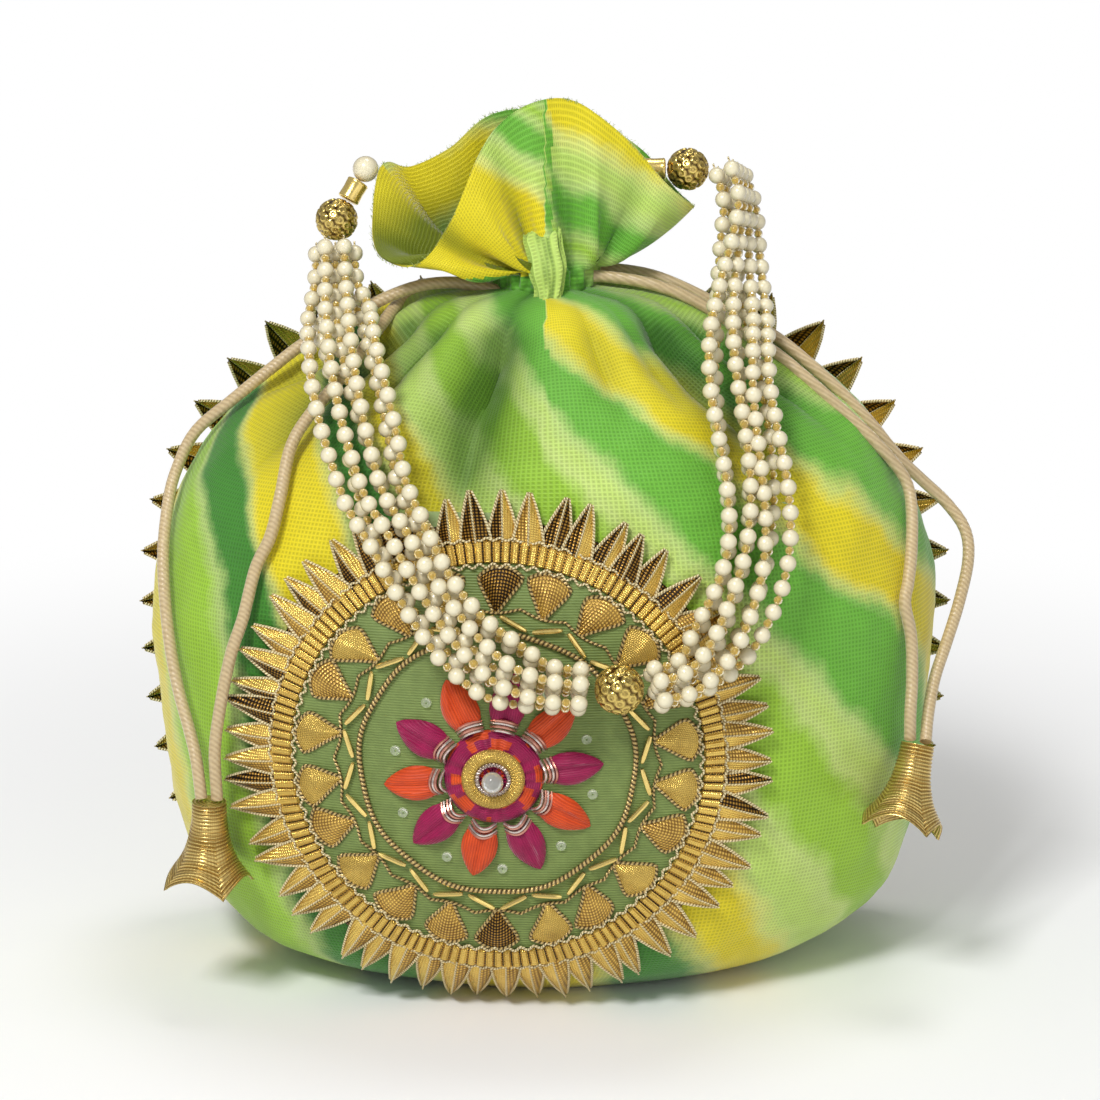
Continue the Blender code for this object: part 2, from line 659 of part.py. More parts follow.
def add_flower_petal(name, turn, low, slot, centre):
    """A padded leaf that points away from the flower's centre."""
    rows = 5
    columns = 4
    along = np.array((math.cos(turn), math.sin(turn)))
    across = np.array((-along[1], along[0]))
    tops = []
    floors = []
    for i in range(rows + 1):
        t = i / rows
        radius = PETAL_START_RADIUS + (PETAL_TIP_RADIUS - PETAL_START_RADIUS) * t
        width = PETAL_HALF_WIDTH * max(math.sin(math.pi * (0.16 + 0.80 * t) ** 0.9), 0.12)
        top_row = []
        floor_row = []
        for j in range(columns + 1):
            q = 2 * j / columns - 1
            place = np.array(centre) + radius * along + q * width * across
            crown = PETAL_HEIGHT * (1 - q * q) * math.sin(math.pi * min(0.2 + t, 1.0) * 0.9) ** 0.5
            top_row.append(on_skin(place[0], place[1], low + 0.6 + crown))
            floor_row.append(on_skin(place[0], place[1], low))
        tops.append(top_row)
        floors.append(floor_row)
    slab_from_grids(name, np.array(tops), np.array(floors), slot)


def rear_point(turn, distance, lift):
    """A point on the back panel, a distance behind the line on which the ring's tips stand."""
    up = math.sin(turn)
    plane = REAR_PLANE_Y + REAR_TOP_SHIFT * ease((up - 0.72) / 0.28)
    plane += REAR_BOTTOM_SHIFT * ease((-up - 0.65) / 0.35)
    near = 0.0
    far = 2 * BODY_HALF_WIDTH
    for _ in range(30):
        middle = (near + far) / 2
        point = np.array((middle * math.cos(turn), plane, REAR_CENTRE_Z + middle * up))
        if skin_level(point) < 0 and 0 < point[2] < BODY_HEIGHT:
            near = middle
        else:
            far = middle
    steps = max(int(round(distance)), 1)
    for _ in range(steps):
        normal = skin_normal(point)
        backward = np.array((0.0, 1.0, 0.0)) - normal[1] * normal
        point = point + distance / steps * backward / np.linalg.norm(backward)
        off_skin = skin_level(point) * np.linalg.norm(point[:2]) * np.linalg.norm(normal[:2])
        point = point - off_skin * normal
    return point + (lift + fold_depth(point[2] / BODY_HEIGHT)) * skin_normal(point)


def rear_ring(name, profile, columns):
    points = []
    faces = []
    size = len(profile(0))
    for k in range(columns):
        for distance, lift in profile(k):
            points.append(rear_point(2 * math.pi * k / columns, distance, lift))
    for k in range(columns):
        for i in range(size):
            a = k * size + i
            b = k * size + (i + 1) % size
            c = ((k + 1) % columns) * size
            d = c + (i + 1) % size
            if i < 2:
                faces.append((a, b, d))
                faces.append((a, d, c + i))
            else:
                faces.append((a, b, c + i))
                faces.append((b, d, c + i))
    return mesh_object(name, points, faces, "gold_ribbon")


def add_rear_ring():
    valley = REAR_POINT_LENGTH * 0.45

    def profile(k):
        if k % 2:
            return ((REAR_POINT_LENGTH, REAR_SEAT), (valley, REAR_SEAT), (valley, REAR_SEAT + RIBBON),
                    (REAR_POINT_LENGTH, REAR_SEAT + RIBBON))
        tip = REAR_SEAT + REAR_STAND_OFF
        return ((REAR_POINT_LENGTH, REAR_SEAT), (0.0, tip), (0.5, tip + RIBBON),
                (REAR_POINT_LENGTH, REAR_SEAT + RIBBON))

    rear_ring("rear_petal_ring", profile, 2 * REAR_POINTS)
    near = REAR_POINT_LENGTH + 2 * GAP
    band = ((near + REAR_BAND_WIDTH, REAR_SEAT), (near, REAR_SEAT), (near, REAR_SEAT + RIBBON),
            (near + REAR_BAND_WIDTH, REAR_SEAT + RIBBON))
    rear_ring("rear_ribbon_band", lambda k: band, 48)


def sphere(name, centre, radius, columns, rows, slot, parent=None, relief=0.0):
    points = [(0, 0, radius)]
    for i in range(1, rows):
        polar = math.pi * i / rows
        for k in range(columns):
            turn = 2 * math.pi * k / columns
            r = radius - (relief if (i + k) % 2 else 0.0)
            flat = r * math.sin(polar)
            points.append((flat * math.cos(turn), flat * math.sin(turn), r * math.cos(polar)))
    points.append((0, 0, -radius))
    last = len(points) - 1
    faces = []
    for k in range(columns):
        after = (k + 1) % columns
        faces.append((0, 1 + k, 1 + after))
        faces.append((last, last - columns + after, last - columns + k))
        for i in range(rows - 2):
            a = 1 + i * columns
            faces.append((a + k, a + columns + k, a + columns + after, a + after))
    return mesh_object(name, np.array(points) + np.asarray(centre), faces, slot, parent)


def tube(name, points, diameter, slot, parent=None):
    curve = bpy.data.curves.new(name, "CURVE")
    curve.dimensions = "3D"
    curve.bevel_depth = diameter / 2 * MM
    curve.bevel_resolution = 2
    curve.render_resolution_u = 0
    curve.use_fill_caps = True
    spline = curve.splines.new("POLY")
    spline.points.add(len(points) - 1)
    for knot, place in zip(spline.points, points):
        knot.co = (*(np.asarray(place) * MM), 1.0)
    spline.use_smooth = True
    return add_object(name, curve, slot, parent)


def add_drawstring(name, outer, inner, height, facing):
    """One cord: up the outer tail, round the neck inside the casing, and down the inner tail."""
    radius = NECK_RADIUS + LOOP_CLEARANCE + CORD_DIAMETER / 2
    start = 180 + LOOP_SLIT if facing == "left" else LOOP_SLIT
    loop = []
    for k in range(LOOP_STEPS + 1):
        turn = math.radians(start + (360 - 2 * LOOP_SLIT) * k / LOOP_STEPS)
        loop.append((radius * math.cos(turn), radius * math.sin(turn), height))
    route = list(outer) + loop + list(inner)[::-1]
    tube(name, open_curve(route, CORD_SPACING), CORD_DIAMETER, "satin_cord")


def rope_paths(route, hint, packed_start, hint_top, hint_bottom):
    """Centre lines of the strands round the rope's middle line."""
    middle = open_curve(route, STRAND_SPACING)
    tangents = np.gradient(middle, axis=0)
    tangents /= np.linalg.norm(tangents, axis=1, keepdims=True)
    run = np.linspace(0, 1, len(middle))
    pitch = PEARL + STRAND_GAP
    paths = [[] for _ in range(STRANDS)]
    for point, tangent, share in zip(middle, tangents, run):
        near_body = ease((hint_top - point[2]) / (hint_top - hint_bottom))
        beside = np.array((point[0], point[1], min(point[2], SHOULDER_HEIGHT)))
        outward = near_body * skin_normal(beside) + (1 - near_body) * np.asarray(hint)
        outward -= tangent * (outward @ tangent)
        outward /= np.linalg.norm(outward)
        sideways = np.cross(tangent, outward)
        spread = 1 - ease((share - 0.72) / 0.24)
        if packed_start:
            spread *= ease(share / 0.3)
        across = ease(min(2 * spread, 1.0))
        deep = ease(max(2 * spread - 1, 0.0))
        for k in range(STRANDS):
            a = PACKED[k][0] * (1 - across) + SPREAD[k][0] * across
            b = PACKED[k][1] * (1 - deep) + SPREAD[k][1] * deep
            paths[k].append(point + pitch * (a * sideways + b * outward))
    return paths


def turned(name, profile, origin, axis, columns, slot, parent=None, wave=None):
    """A turned body. profile runs from pole to pole as (radius, distance along the axis)."""
    turn_to = Vector((0, 0, 1)).rotation_difference(Vector(axis).normalized()).to_matrix()
    turn_to = np.array(turn_to)
    points = [(0.0, 0.0, profile[0][1])]
    for radius, along in profile[1:-1]:
        for k in range(columns):
            angle = 2 * math.pi * k / columns
            shift = wave(radius, angle) if wave else 0.0
            points.append((radius * math.cos(angle), radius * math.sin(angle), along + shift))
    points.append((0.0, 0.0, profile[-1][1]))
    last = len(points) - 1
    faces = []
    for k in range(columns):
        after = (k + 1) % columns
        faces.append((0, 1 + k, 1 + after))
        faces.append((last, last - columns + after, last - columns + k))
        for i in range(len(profile) - 3):
            a = 1 + i * columns
            faces.append((a + k, a + columns + k, a + columns + after, a + after))
    places = np.array(points) @ turn_to.T + np.asarray(origin)
    return mesh_object(name, places, faces, slot, parent)


def add_tassel(name, origin, axis):
    """A hollow bell that flares to a wavy rim. The distance runs from the collar down."""
    wall = BELL_WALL
    shape = ((0.0, 1.0), (0.25, 1.06), (0.5, 1.28), (0.75, 1.75), (1.0, BELL_RIM_RADIUS / BELL_TOP_RADIUS))
    outer = [(BELL_TOP_RADIUS * r, BELL_HEIGHT * t) for t, r in shape]
    inner = [(BELL_TOP_RADIUS * r - wall, BELL_HEIGHT * t) for t, r in shape[:0:-1]]
    profile = [(0.0, 0.0)] + outer + inner + [(BELL_TOP_RADIUS - wall, wall), (0.0, wall)]

    def wave(radius, angle):
        share = max(radius - BELL_TOP_RADIUS * 1.3, 0.0) / (BELL_RIM_RADIUS - BELL_TOP_RADIUS * 1.3)
        return BELL_WAVE_DEPTH * share * math.cos(BELL_WAVES * angle)

    turned(name, profile, origin, axis, BELL_COLUMNS, "gold_metal", wave=wave)


def add_handle():
    """The handle hangs from an empty on its swing axis, the line through both end pearls."""
    axis = bpy.data.objects.new("handle_swing_axis", None)
    axis.location = Vector((0, HANDLE_AXIS_Y, HANDLE_AXIS_Z)) * MM
    bpy.context.scene.collection.objects.link(axis)
    bpy.context.view_layer.update()
    pearl = END_PEARL_DIAMETER / 2
    bead = END_BEAD_DIAMETER / 2
    cap_start = pearl + GAP
    bead_centre = cap_start + CAP_LENGTH + GAP + bead
    left = np.array((LEFT_PEARL_X, HANDLE_AXIS_Y, HANDLE_AXIS_Z))
    chain = np.array(LEFT_CHAIN) / np.linalg.norm(LEFT_CHAIN)
    right_bead = np.array((RIGHT_BEAD_X, HANDLE_AXIS_Y, HANDLE_AXIS_Z))
    right = right_bead - (bead_centre, 0, 0)
    radius = CAP_DIAMETER / 2
    rim = radius - CAP_EDGE
    low_end = ((0.0, 0.0), (rim, 0.0), (radius, CAP_EDGE))
    cap = low_end + ((radius, CAP_LENGTH - CAP_EDGE), (rim, CAP_LENGTH), (0.0, CAP_LENGTH))
    left_end = ("left", left, chain, left + bead_centre * chain)
    right_end = ("right", right, np.array((1.0, 0.0, 0.0)), right_bead)
    for side, start, way, far in (left_end, right_end):
        sphere(f"end_pearl_{side}", start, pearl, 12, 8, "pearl", axis)
        turned(f"end_cap_{side}", cap, start + cap_start * way, way, 12, "gold_metal", axis)
        sphere(f"filigree_bead_{side}", far, bead, 12, 8, "gold_metal", axis, BEAD_RELIEF)
    middle_radius = MIDDLE_BEAD_DIAMETER / 2
    sphere("filigree_bead_middle", MIDDLE_BEAD, middle_radius, 12, 8, "gold_metal", axis, BEAD_RELIEF)
    left_paths = rope_paths(LEFT_STRANDS, LEFT_HINT, True, *LEFT_TURN_HEIGHTS)
    right_paths = rope_paths(RIGHT_STRANDS, RIGHT_HINT, False, *RIGHT_TURN_HEIGHTS)
    for side, paths in (("left", left_paths), ("right", right_paths)):
        for k, path in enumerate(paths):
            tube(f"pearl_strand_{side}_{k + 1}", path, PEARL, "pearl", axis)


def main():
    clear_scene()
    add_panels()
    rim = BASE_FLANGE + GAP
    oval_disc("bag_base_panel", BASE_HALF_WIDTH - rim, BASE_HALF_DEPTH - rim, 0.0, CLOTH, "cloth")
    add_lining()
    add_casing()
    add_medallion()
    add_flower()
    add_rear_ring()
    add_drawstring("drawstring_left", LEFT_OUTER, LEFT_INNER, LEFT_LOOP_HEIGHT, "left")
    add_drawstring("drawstring_right", RIGHT_OUTER, RIGHT_INNER, RIGHT_LOOP_HEIGHT, "right")
    add_tassel("tassel_left", *LEFT_BELL)
    add_tassel("tassel_right", *RIGHT_BELL)
    add_handle()


main()
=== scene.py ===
"""Looks of the potli bag: striped sheer cloth, gold ribbon medallion, pearl handle and bell tassels."""
import math

import bpy
import numpy as np
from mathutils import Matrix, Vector, noise


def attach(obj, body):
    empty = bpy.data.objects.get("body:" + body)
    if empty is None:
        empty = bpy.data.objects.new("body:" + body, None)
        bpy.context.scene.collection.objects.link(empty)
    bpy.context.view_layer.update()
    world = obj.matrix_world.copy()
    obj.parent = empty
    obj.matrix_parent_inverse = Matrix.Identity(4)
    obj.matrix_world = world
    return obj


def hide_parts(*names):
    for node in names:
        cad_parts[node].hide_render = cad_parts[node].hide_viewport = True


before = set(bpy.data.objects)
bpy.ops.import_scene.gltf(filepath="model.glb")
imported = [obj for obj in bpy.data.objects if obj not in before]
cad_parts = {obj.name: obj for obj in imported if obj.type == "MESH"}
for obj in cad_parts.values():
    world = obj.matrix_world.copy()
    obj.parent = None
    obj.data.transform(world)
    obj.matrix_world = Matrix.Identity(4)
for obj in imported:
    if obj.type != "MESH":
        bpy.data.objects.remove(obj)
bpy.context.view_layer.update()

# Sizes are in millimetres, as in the CAD source
MM = 0.001
GAP = 0.3
BODY_HALF_WIDTH = 113.5
BODY_HALF_DEPTH = 68.0
BODY_HEIGHT = 194.0
BODY_ROUNDNESS = 2.15
BASE_HALF_WIDTH = 55.0
BASE_HALF_DEPTH = 38.0
BODY_SHAPE = (
    (0.012, 0.62), (0.045, 0.76), (0.11, 0.88), (0.22, 0.955), (0.35, 0.99), (0.5, 1.0), (0.64, 0.975),
    (0.76, 0.895), (0.85, 0.77), (0.91, 0.64), (0.955, 0.46), (0.985, 0.27),
)
NECK_RADIUS = 9.0
CLOTH_NECK_RADIUS = 15.0
NECK_TOP = 206.0
FRILL_RIM = (
    (42.0, -3.0, 15.5), (37.5, 8.0, 18.5), (28.5, 10.0, 29.0), (18.5, 9.5, 36.0), (9.0, 8.5, 40.5),
    (0.0, 8.0, 42.0), (-10.0, 8.0, 41.5), (-18.0, 8.5, 38.5), (-27.0, 9.0, 30.5), (-38.0, 7.0, 25.5),
    (-46.3, 1.0, 26.5), (-48.5, -8.0, 14.0), (-46.5, -16.0, 3.5), (-38.0, -19.0, 1.5),
    (-28.0, -17.0, 10.0), (-18.5, -11.0, 31.0), (-8.0, -8.0, 43.5), (6.0, -7.5, 46.5),
    (19.0, -8.5, 39.0), (33.0, -10.0, 24.0),
)
# Creases that run down from the neck: (angle, half width, depth, share of the height at which it starts)
CREASES = (
    (257, 9, 10.0, 0.62), (284, 5, 3.0, 0.84), (312, 10, 9.5, 0.70), (332, 8, 5.0, 0.78),
    (232, 7, 5.0, 0.80), (212, 12, 8.5, 0.72), (298, 5, 2.0, 0.86), (190, 8, 5.0, 0.82),
    (350, 7, 4.5, 0.82), (15, 9, 6.0, 0.78), (40, 8, 6.0, 0.76), (68, 7, 7.0, 0.74), (95, 8, 6.5, 0.76),
    (120, 7, 7.0, 0.72), (148, 9, 6.0, 0.78), (168, 7, 5.0, 0.80),
)
# Folds of the frill: (angle, half width, how far it stands out, or is drawn in below 0)
FRILL_FOLDS = (
    (205, 7, 3.0), (222, 8, -4.5), (240, 7, 4.5), (252, 5, -4.0), (264, 8, 4.0), (279, 5, -5.0),
    (291, 7, 4.0), (303, 5, -4.5), (318, 8, 4.5), (334, 6, -3.5), (346, 6, 2.5), (8, 7, -3.0),
    (30, 8, 3.0), (52, 6, -3.0), (75, 8, 3.0), (98, 6, -3.0), (122, 8, 3.0), (145, 6, -3.0),
    (168, 8, 2.5), (186, 6, -2.5),
)
# Medallion on the front, with the place of its centre as (x, z)
MEDALLION = (-13.0, 78.0)
FLOWER = (-14.0, 75.0)
SEAT = 0.6
CLOTH_TOP = 1.4
SILK_RADIUS = 58.0
FRONT_POINTS = 57
POINT_ROOT = 61.0
POINT_TIP = 75.0
POINT_SHARE = 0.92
BAND_BARS = 152
FANS = 22
BUGLES = 28
CORD_RING_RADIUS = 37.6
PETALS = 10
PETAL_ROOT = 15.4
PETAL_TIP = 30.2
PETAL_TURN = 7.0
REAR_POINTS = 48
REAR_BARS = 120
PEARL = 4.8
SEED = 2.7
END_PEARL_RADIUS = 3.7
CAP_LENGTH = 6.2
END_BEAD_RADIUS = 6.0
MIDDLE_BEAD_RADIUS = 6.8
PITS = 54
GOLDEN_ANGLE = 2.39996
BELL_HEIGHT = 23.0
BELL_TOP_RADIUS = 4.7
FRAY_THREADS = 520
FLOOR_SIZE = 6.0
rng = np.random.default_rng(7)


def around(count):
    """Equal steps round a full turn, in radians."""
    return np.arange(count) * 2 * math.pi / count


def pairs(us, vs):
    """Surface coordinates of a grid, with us along its rows and vs from row to row."""
    return np.stack(np.meshgrid(us, vs), -1)


def unit(vectors):
    return vectors / np.linalg.norm(vectors, axis=-1, keepdims=True)


def run_along(points):
    """The distance along a path at each of its points."""
    return np.concatenate(([0], np.cumsum(np.linalg.norm(np.diff(points, axis=0), axis=1))))


def at_run(stops, run, points):
    """The places on a path at the given distances along it."""
    return np.stack([np.interp(stops, run, points[:, k]) for k in range(3)], -1)


def new_object(name, data):
    made = bpy.data.objects.new(name, data)
    bpy.context.scene.collection.objects.link(made)
    return made


def add_camera():
    """The camera at the photograph's angle."""
    data = bpy.data.cameras.new("camera")
    camera = new_object("camera", data)
    tilt = math.radians(15)
    camera.location = (0, -1.0 * math.cos(tilt), 0.125 + 1.0 * math.sin(tilt))
    camera.rotation_euler = (math.pi / 2 - tilt, 0, 0)
    data.sensor_width = 36
    data.lens = 36 * 3450 / 1100
    data.shift_x = 5 / 1100
    data.shift_y = -15 / 1100
    data.clip_start = 0.01
    bpy.context.scene.camera = camera


class Shade:
    """One node material. Constants go on the shader's own sockets."""

    def __init__(self, name, **constants):
        self.material = bpy.data.materials.new(name)
        self.material.use_nodes = True
        self.tree = self.material.node_tree
        self.shader = self.tree.nodes["Principled BSDF"]
        for key, value in constants.items():
            self.shader.inputs[key.replace("_", " ")].default_value = value

    def add(self, kind, values=None, **settings):
        made = self.tree.nodes.new("ShaderNode" + kind)
        for key, value in settings.items():
            setattr(made, key, value)
        for key, value in (values or {}).items():
            self.put(made.inputs[key], value)
        return made

    def put(self, socket, value):
        if isinstance(value, bpy.types.NodeSocket):
            self.tree.links.new(value, socket)
        else:
            socket.default_value = value

    def math(self, operation, a, b=0.0, c=0.0):
        return self.add("Math", {0: a, 1: b, 2: c}, operation=operation).outputs[0]

    def mix(self, factor, a, b, blend="MIX"):
        made = self.add("Mix", {0: factor}, data_type="RGBA", blend_type=blend)
        self.put(made.inputs[6], a)
        self.put(made.inputs[7], b)
        return made.outputs[2]

    def noise(self, scale, vector=None, detail=3.0):
        made = self.add("TexNoise", {"Scale": scale, "Detail": detail})
        self.put(made.inputs["Vector"], vector or self.add("TexCoord").outputs["Object"])
        return made.outputs[0]

    def ramp(self, factor, stops):
        made = self.add("ValToRGB", {0: factor})
        elements = made.color_ramp.elements
        elements[0].position, elements[0].color = stops[0]
        elements[1].position, elements[1].color = stops[-1]
        for position, colour in stops[1:-1]:
            elements.new(position).color = colour
        return made.outputs[0]

    def lines(self, value, period, share=0.5, soft=0.2):
        """1 on stripes of the given share of each period, 0 between them."""
        place = self.math("FRACT", self.math("DIVIDE", value, period))
        distance = self.math("ABSOLUTE", self.math("SUBTRACT", place, 0.5))
        limits = {"Value": distance, "From Min": (share + soft) / 2, "From Max": (share - soft) / 2}
        return self.add("MapRange", limits).outputs[0]

    def uv(self):
        split = self.add("SeparateXYZ", {0: self.add("TexCoord").outputs["UV"]})
        return split.outputs[0], split.outputs[1]

    def finish(self, colour=None, roughness=None, bump=None, strength=0.4, distance=0.0003):
        if colour is not None:
            self.put(self.shader.inputs["Base Color"], colour)
        if roughness is not None:
            self.put(self.shader.inputs["Roughness"], roughness)
        if bump is not None:
            made = self.add("Bump", {"Strength": strength, "Distance": distance, "Height": bump})
            self.put(self.shader.inputs["Normal"], made.outputs[0])
        return self.material


def rgb(r, g, b):
    """A linear colour from the values that the screen shows, 0 to 255."""
    return tuple(((v / 255 + 0.055) / 1.055) ** 2.4 if v > 10 else v / 3294.6 for v in (r, g, b)) + (1.0,)


YELLOW = rgb(222, 206, 28)
GREEN = rgb(106, 176, 56)
DEEP = rgb(64, 132, 42)
LIME = rgb(152, 196, 54)
PALE = rgb(186, 214, 106)
CREAM = rgb(222, 230, 160)
# Cloth bands by the angle at which each starts in the fan that they form, in degrees
BANDS = (
    (16, YELLOW), (23.6, PALE), (26.2, GREEN), (29.5, LIME), (31.2, GREEN), (35.6, YELLOW), (39.8, GREEN),
    (44.6, PALE), (46.2, LIME), (50.5, PALE), (53.5, YELLOW), (57.0, DEEP), (61.0, YELLOW), (68.6, DEEP),
    (73.6, LIME), (80.0, YELLOW),
)
BAND_START = 14.0
BAND_SPAN = 76.0


def cloth_material():
    """Striped open cloth: bands by the stripe attribute, pale at their edges, under crossing threads."""
    s = Shade("kota_doria_cloth", Sheen_Weight=0.25, Sheen_Roughness=0.4, Specular_IOR_Level=0.35)
    u, v = s.uv()
    stripe = s.add("Attribute", attribute_name="stripe").outputs["Fac"]
    wave = s.noise(34.0, detail=2.0)
    fine = s.noise(420.0, detail=4.0)
    shift = s.math("MULTIPLY_ADD", wave, 4.4, -2.2)
    shift = s.math("ADD", shift, s.math("MULTIPLY_ADD", fine, 0.7, -0.35))
    place = s.math("DIVIDE", s.math("SUBTRACT", s.math("ADD", stripe, shift), BAND_START), BAND_SPAN)
    stops = [(0.0, BANDS[0][1])]
    marks = 1.0
    for (_, before), (start, after) in zip(BANDS, BANDS[1:]):
        at = (start - BAND_START) / BAND_SPAN
        stops += [(at - 0.008, before), (at + 0.008, after)]
        marks = s.math("MINIMUM", marks, s.math("ABSOLUTE", s.math("SUBTRACT", place, at)))
    colour = s.ramp(place, stops)
    edge = s.add("MapRange", {"Value": marks, "From Min": 0.013, "From Max": 0.0, "To Max": 0.42}).outputs[0]
    colour = s.mix(edge, colour, CREAM)
    across = s.lines(u, 1.25, 0.42, 0.35)
    along = s.lines(v, 1.25, 0.42, 0.35)
    thread = s.math("MAXIMUM", across, along)
    finer = s.math("MAXIMUM", s.lines(u, 0.42, 0.5, 0.5), s.lines(v, 0.42, 0.5, 0.5))
    tone = s.math("MULTIPLY_ADD", thread, 0.34, 0.70)
    tone = s.math("MULTIPLY_ADD", finer, 0.05, tone)
    slub = s.noise(160.0, detail=4.0)
    tone = s.math("MULTIPLY_ADD", slub, 0.20, s.math("SUBTRACT", tone, 0.10))
    colour = s.mix(1.0, colour, s.add("CombineColor", {0: tone, 1: tone, 2: tone}).outputs[0], "MULTIPLY")
    # Painted shade: the inside attribute darkens the creases, the drawn-in folds of the frill, the lower
    # inner face of the frill and the valleys of the neck fold.
    inner = s.add("Attribute", attribute_name="inside").outputs["Fac"]
    colour = s.mix(inner, colour, s.mix(1.0, colour, (0.20, 0.30, 0.16, 1), "MULTIPLY"))
    return s.finish(colour, s.math("MULTIPLY_ADD", thread, -0.12, 0.66), thread, 0.55, 0.0002)


def lining_material():
    s = Shade("cotton_lining", Roughness=0.85)
    grain = s.noise(900.0)
    return s.finish(s.mix(grain, rgb(150, 175, 105), rgb(190, 210, 150)), None, grain, 0.3)


def satin_material(name, light, dark, metallic, roughness, period, mesh):
    """Woven metallic ribbon: crossing threads, with dark gaps where mesh is above 0."""
    s = Shade(name, Metallic=metallic)
    u, v = s.uv()
    warp = s.lines(u, period, 0.6, 0.4)
    weft = s.lines(v, period, 0.6, 0.4)
    weave = s.math("MULTIPLY", warp, weft)
    cloudy = s.noise(180.0)
    gap = s.math("MULTIPLY", s.math("SUBTRACT", 1.0, weave), mesh)
    tone = s.math("MULTIPLY_ADD", cloudy, 0.7, -0.25)
    colour = s.mix(s.math("ADD", gap, tone), light, dark)
    return s.finish(colour, s.math("MULTIPLY_ADD", cloudy, 0.2, roughness - 0.1), weave, 0.6, 0.00025)


def silk_material(name, base, deep, period, rib):
    s = Shade(name, Sheen_Weight=0.4, Sheen_Roughness=0.35, Specular_IOR_Level=0.4)
    u, v = s.uv()
    ribs = s.lines(v, period, 0.55, 0.5)
    slub = s.noise(260.0, detail=4.0)
    colour = s.mix(s.math("MULTIPLY_ADD", slub, 0.9, -0.15), base, deep)
    colour = s.mix(s.math("MULTIPLY", s.math("SUBTRACT", 1.0, ribs), rib), colour, deep)
    return s.finish(colour, 0.55, s.math("ADD", ribs, slub), 0.6, 0.00025)


def twisted_material(name, light, dark, metallic, roughness, pitch):
    """Two plies wound round each other: u runs round the cord as 0 to 1, v along it in millimetres."""
    s = Shade(name, Metallic=metallic)
    u, v = s.uv()
    place = s.math("ADD", s.math("DIVIDE", v, pitch), u)
    ply = s.lines(place, 1.0, 0.62, 0.35)
    colour = s.mix(ply, dark, light)
    return s.finish(colour, roughness, ply, 0.8, 0.0004)


def metal_material(name, light, dark, roughness, pit_shade=False):
    s = Shade(name, Metallic=0.85)
    cloudy = s.noise(300.0)
    colour = s.mix(s.math("MULTIPLY", cloudy, 0.35), light, dark)
    # Painted shade: with this option on, the pits of the filigree take the dark colour.
    if pit_shade:
        depth = s.add("Attribute", attribute_name="pit_shade").outputs["Fac"]
        colour = s.mix(depth, colour, dark)
    return s.finish(colour, s.math("MULTIPLY_ADD", cloudy, 0.2, roughness - 0.1), cloudy, 0.15)


def pearl_material():
    s = Shade("pearl_lustre", Coat_Weight=0.7, Coat_Roughness=0.08, Sheen_Weight=0.15)
    # Painted shade: each pearl darkens towards its rim, where it turns away from the view.
    rim = s.add("LayerWeight", {"Blend": 0.35}).outputs["Facing"]
    cloudy = s.noise(140.0)
    colour = s.mix(rim, rgb(236, 228, 196), rgb(156, 138, 92))
    colour = s.mix(s.math("MULTIPLY", cloudy, 0.25), colour, rgb(236, 222, 190))
    return s.finish(colour, s.math("MULTIPLY_ADD", cloudy, 0.12, 0.2))


def glass_material(name, colour, transmission):
    s = Shade(name, Transmission_Weight=transmission, IOR=1.45)
    cloudy = s.noise(400.0)
    tint = s.mix(s.math("MULTIPLY", cloudy, 0.4), colour, tuple(0.7 * c for c in colour[:3]) + (1.0,))
    return s.finish(tint, s.math("MULTIPLY_ADD", cloudy, 0.1, 0.08))


def cord_material():
    s = Shade("satin_cord", Sheen_Weight=0.5, Sheen_Roughness=0.3, Specular_IOR_Level=0.6)
    split = s.add("SeparateXYZ", {0: s.add("TexCoord").outputs["Object"]})
    place = s.math("MULTIPLY", split.outputs[2], 620.0)
    place = s.math("MULTIPLY_ADD", split.outputs[0], 420.0, place)
    place = s.math("MULTIPLY_ADD", split.outputs[1], 420.0, place)
    ply = s.lines(s.math("ADD", place, s.math("MULTIPLY", s.noise(60.0), 1.5)), 1.0, 0.55, 0.7)
    fine = s.noise(900.0)
    colour = s.mix(ply, rgb(158, 128, 86), rgb(206, 182, 136))
    colour = s.mix(s.math("MULTIPLY", fine, 0.35), colour, rgb(240, 226, 190))
    return s.finish(colour, 0.38, s.math("ADD", ply, fine), 0.5)


PALE_GOLD = satin_material("pale_gold_ribbon", rgb(255, 220, 116), rgb(150, 100, 28), 0.75, 0.26, 0.6, 0.35)
SHADE_GOLD = satin_material("shaded_gold_ribbon", rgb(248, 204, 100), rgb(104, 68, 20), 0.5, 0.3, 0.8, 0.8)
DARK_GOLD = satin_material("dark_gold_ribbon", rgb(200, 150, 62), rgb(30, 18, 6), 0.7, 0.32, 0.8, 1.1)
MESH_GOLD = satin_material("gold_mesh_ribbon", rgb(255, 218, 112), rgb(96, 62, 16), 0.7, 0.26, 0.5, 0.5)
CREAM_THREAD = twisted_material("cream_thread", rgb(244, 230, 184), rgb(168, 140, 86), 0.1, 0.5, 0.9)
EDGE_CORD = twisted_material("twisted_gold_cord", rgb(206, 178, 116), rgb(40, 27, 12), 0.5, 0.4, 1.3)
MOSS_SILK = silk_material("moss_silk", rgb(136, 156, 84), rgb(88, 108, 50), 0.75, 0.6)
MAGENTA = silk_material("magenta_silk", rgb(172, 6, 84), rgb(92, 0, 40), 0.6, 0.3)
ORANGE = silk_material("orange_silk", rgb(236, 88, 20), rgb(168, 38, 8), 0.7, 0.6)
SILVER = metal_material("silver_wire", rgb(226, 214, 206), rgb(120, 96, 90), 0.25)
ROSE = metal_material("rose_wire", rgb(220, 160, 140), rgb(120, 60, 60), 0.3)
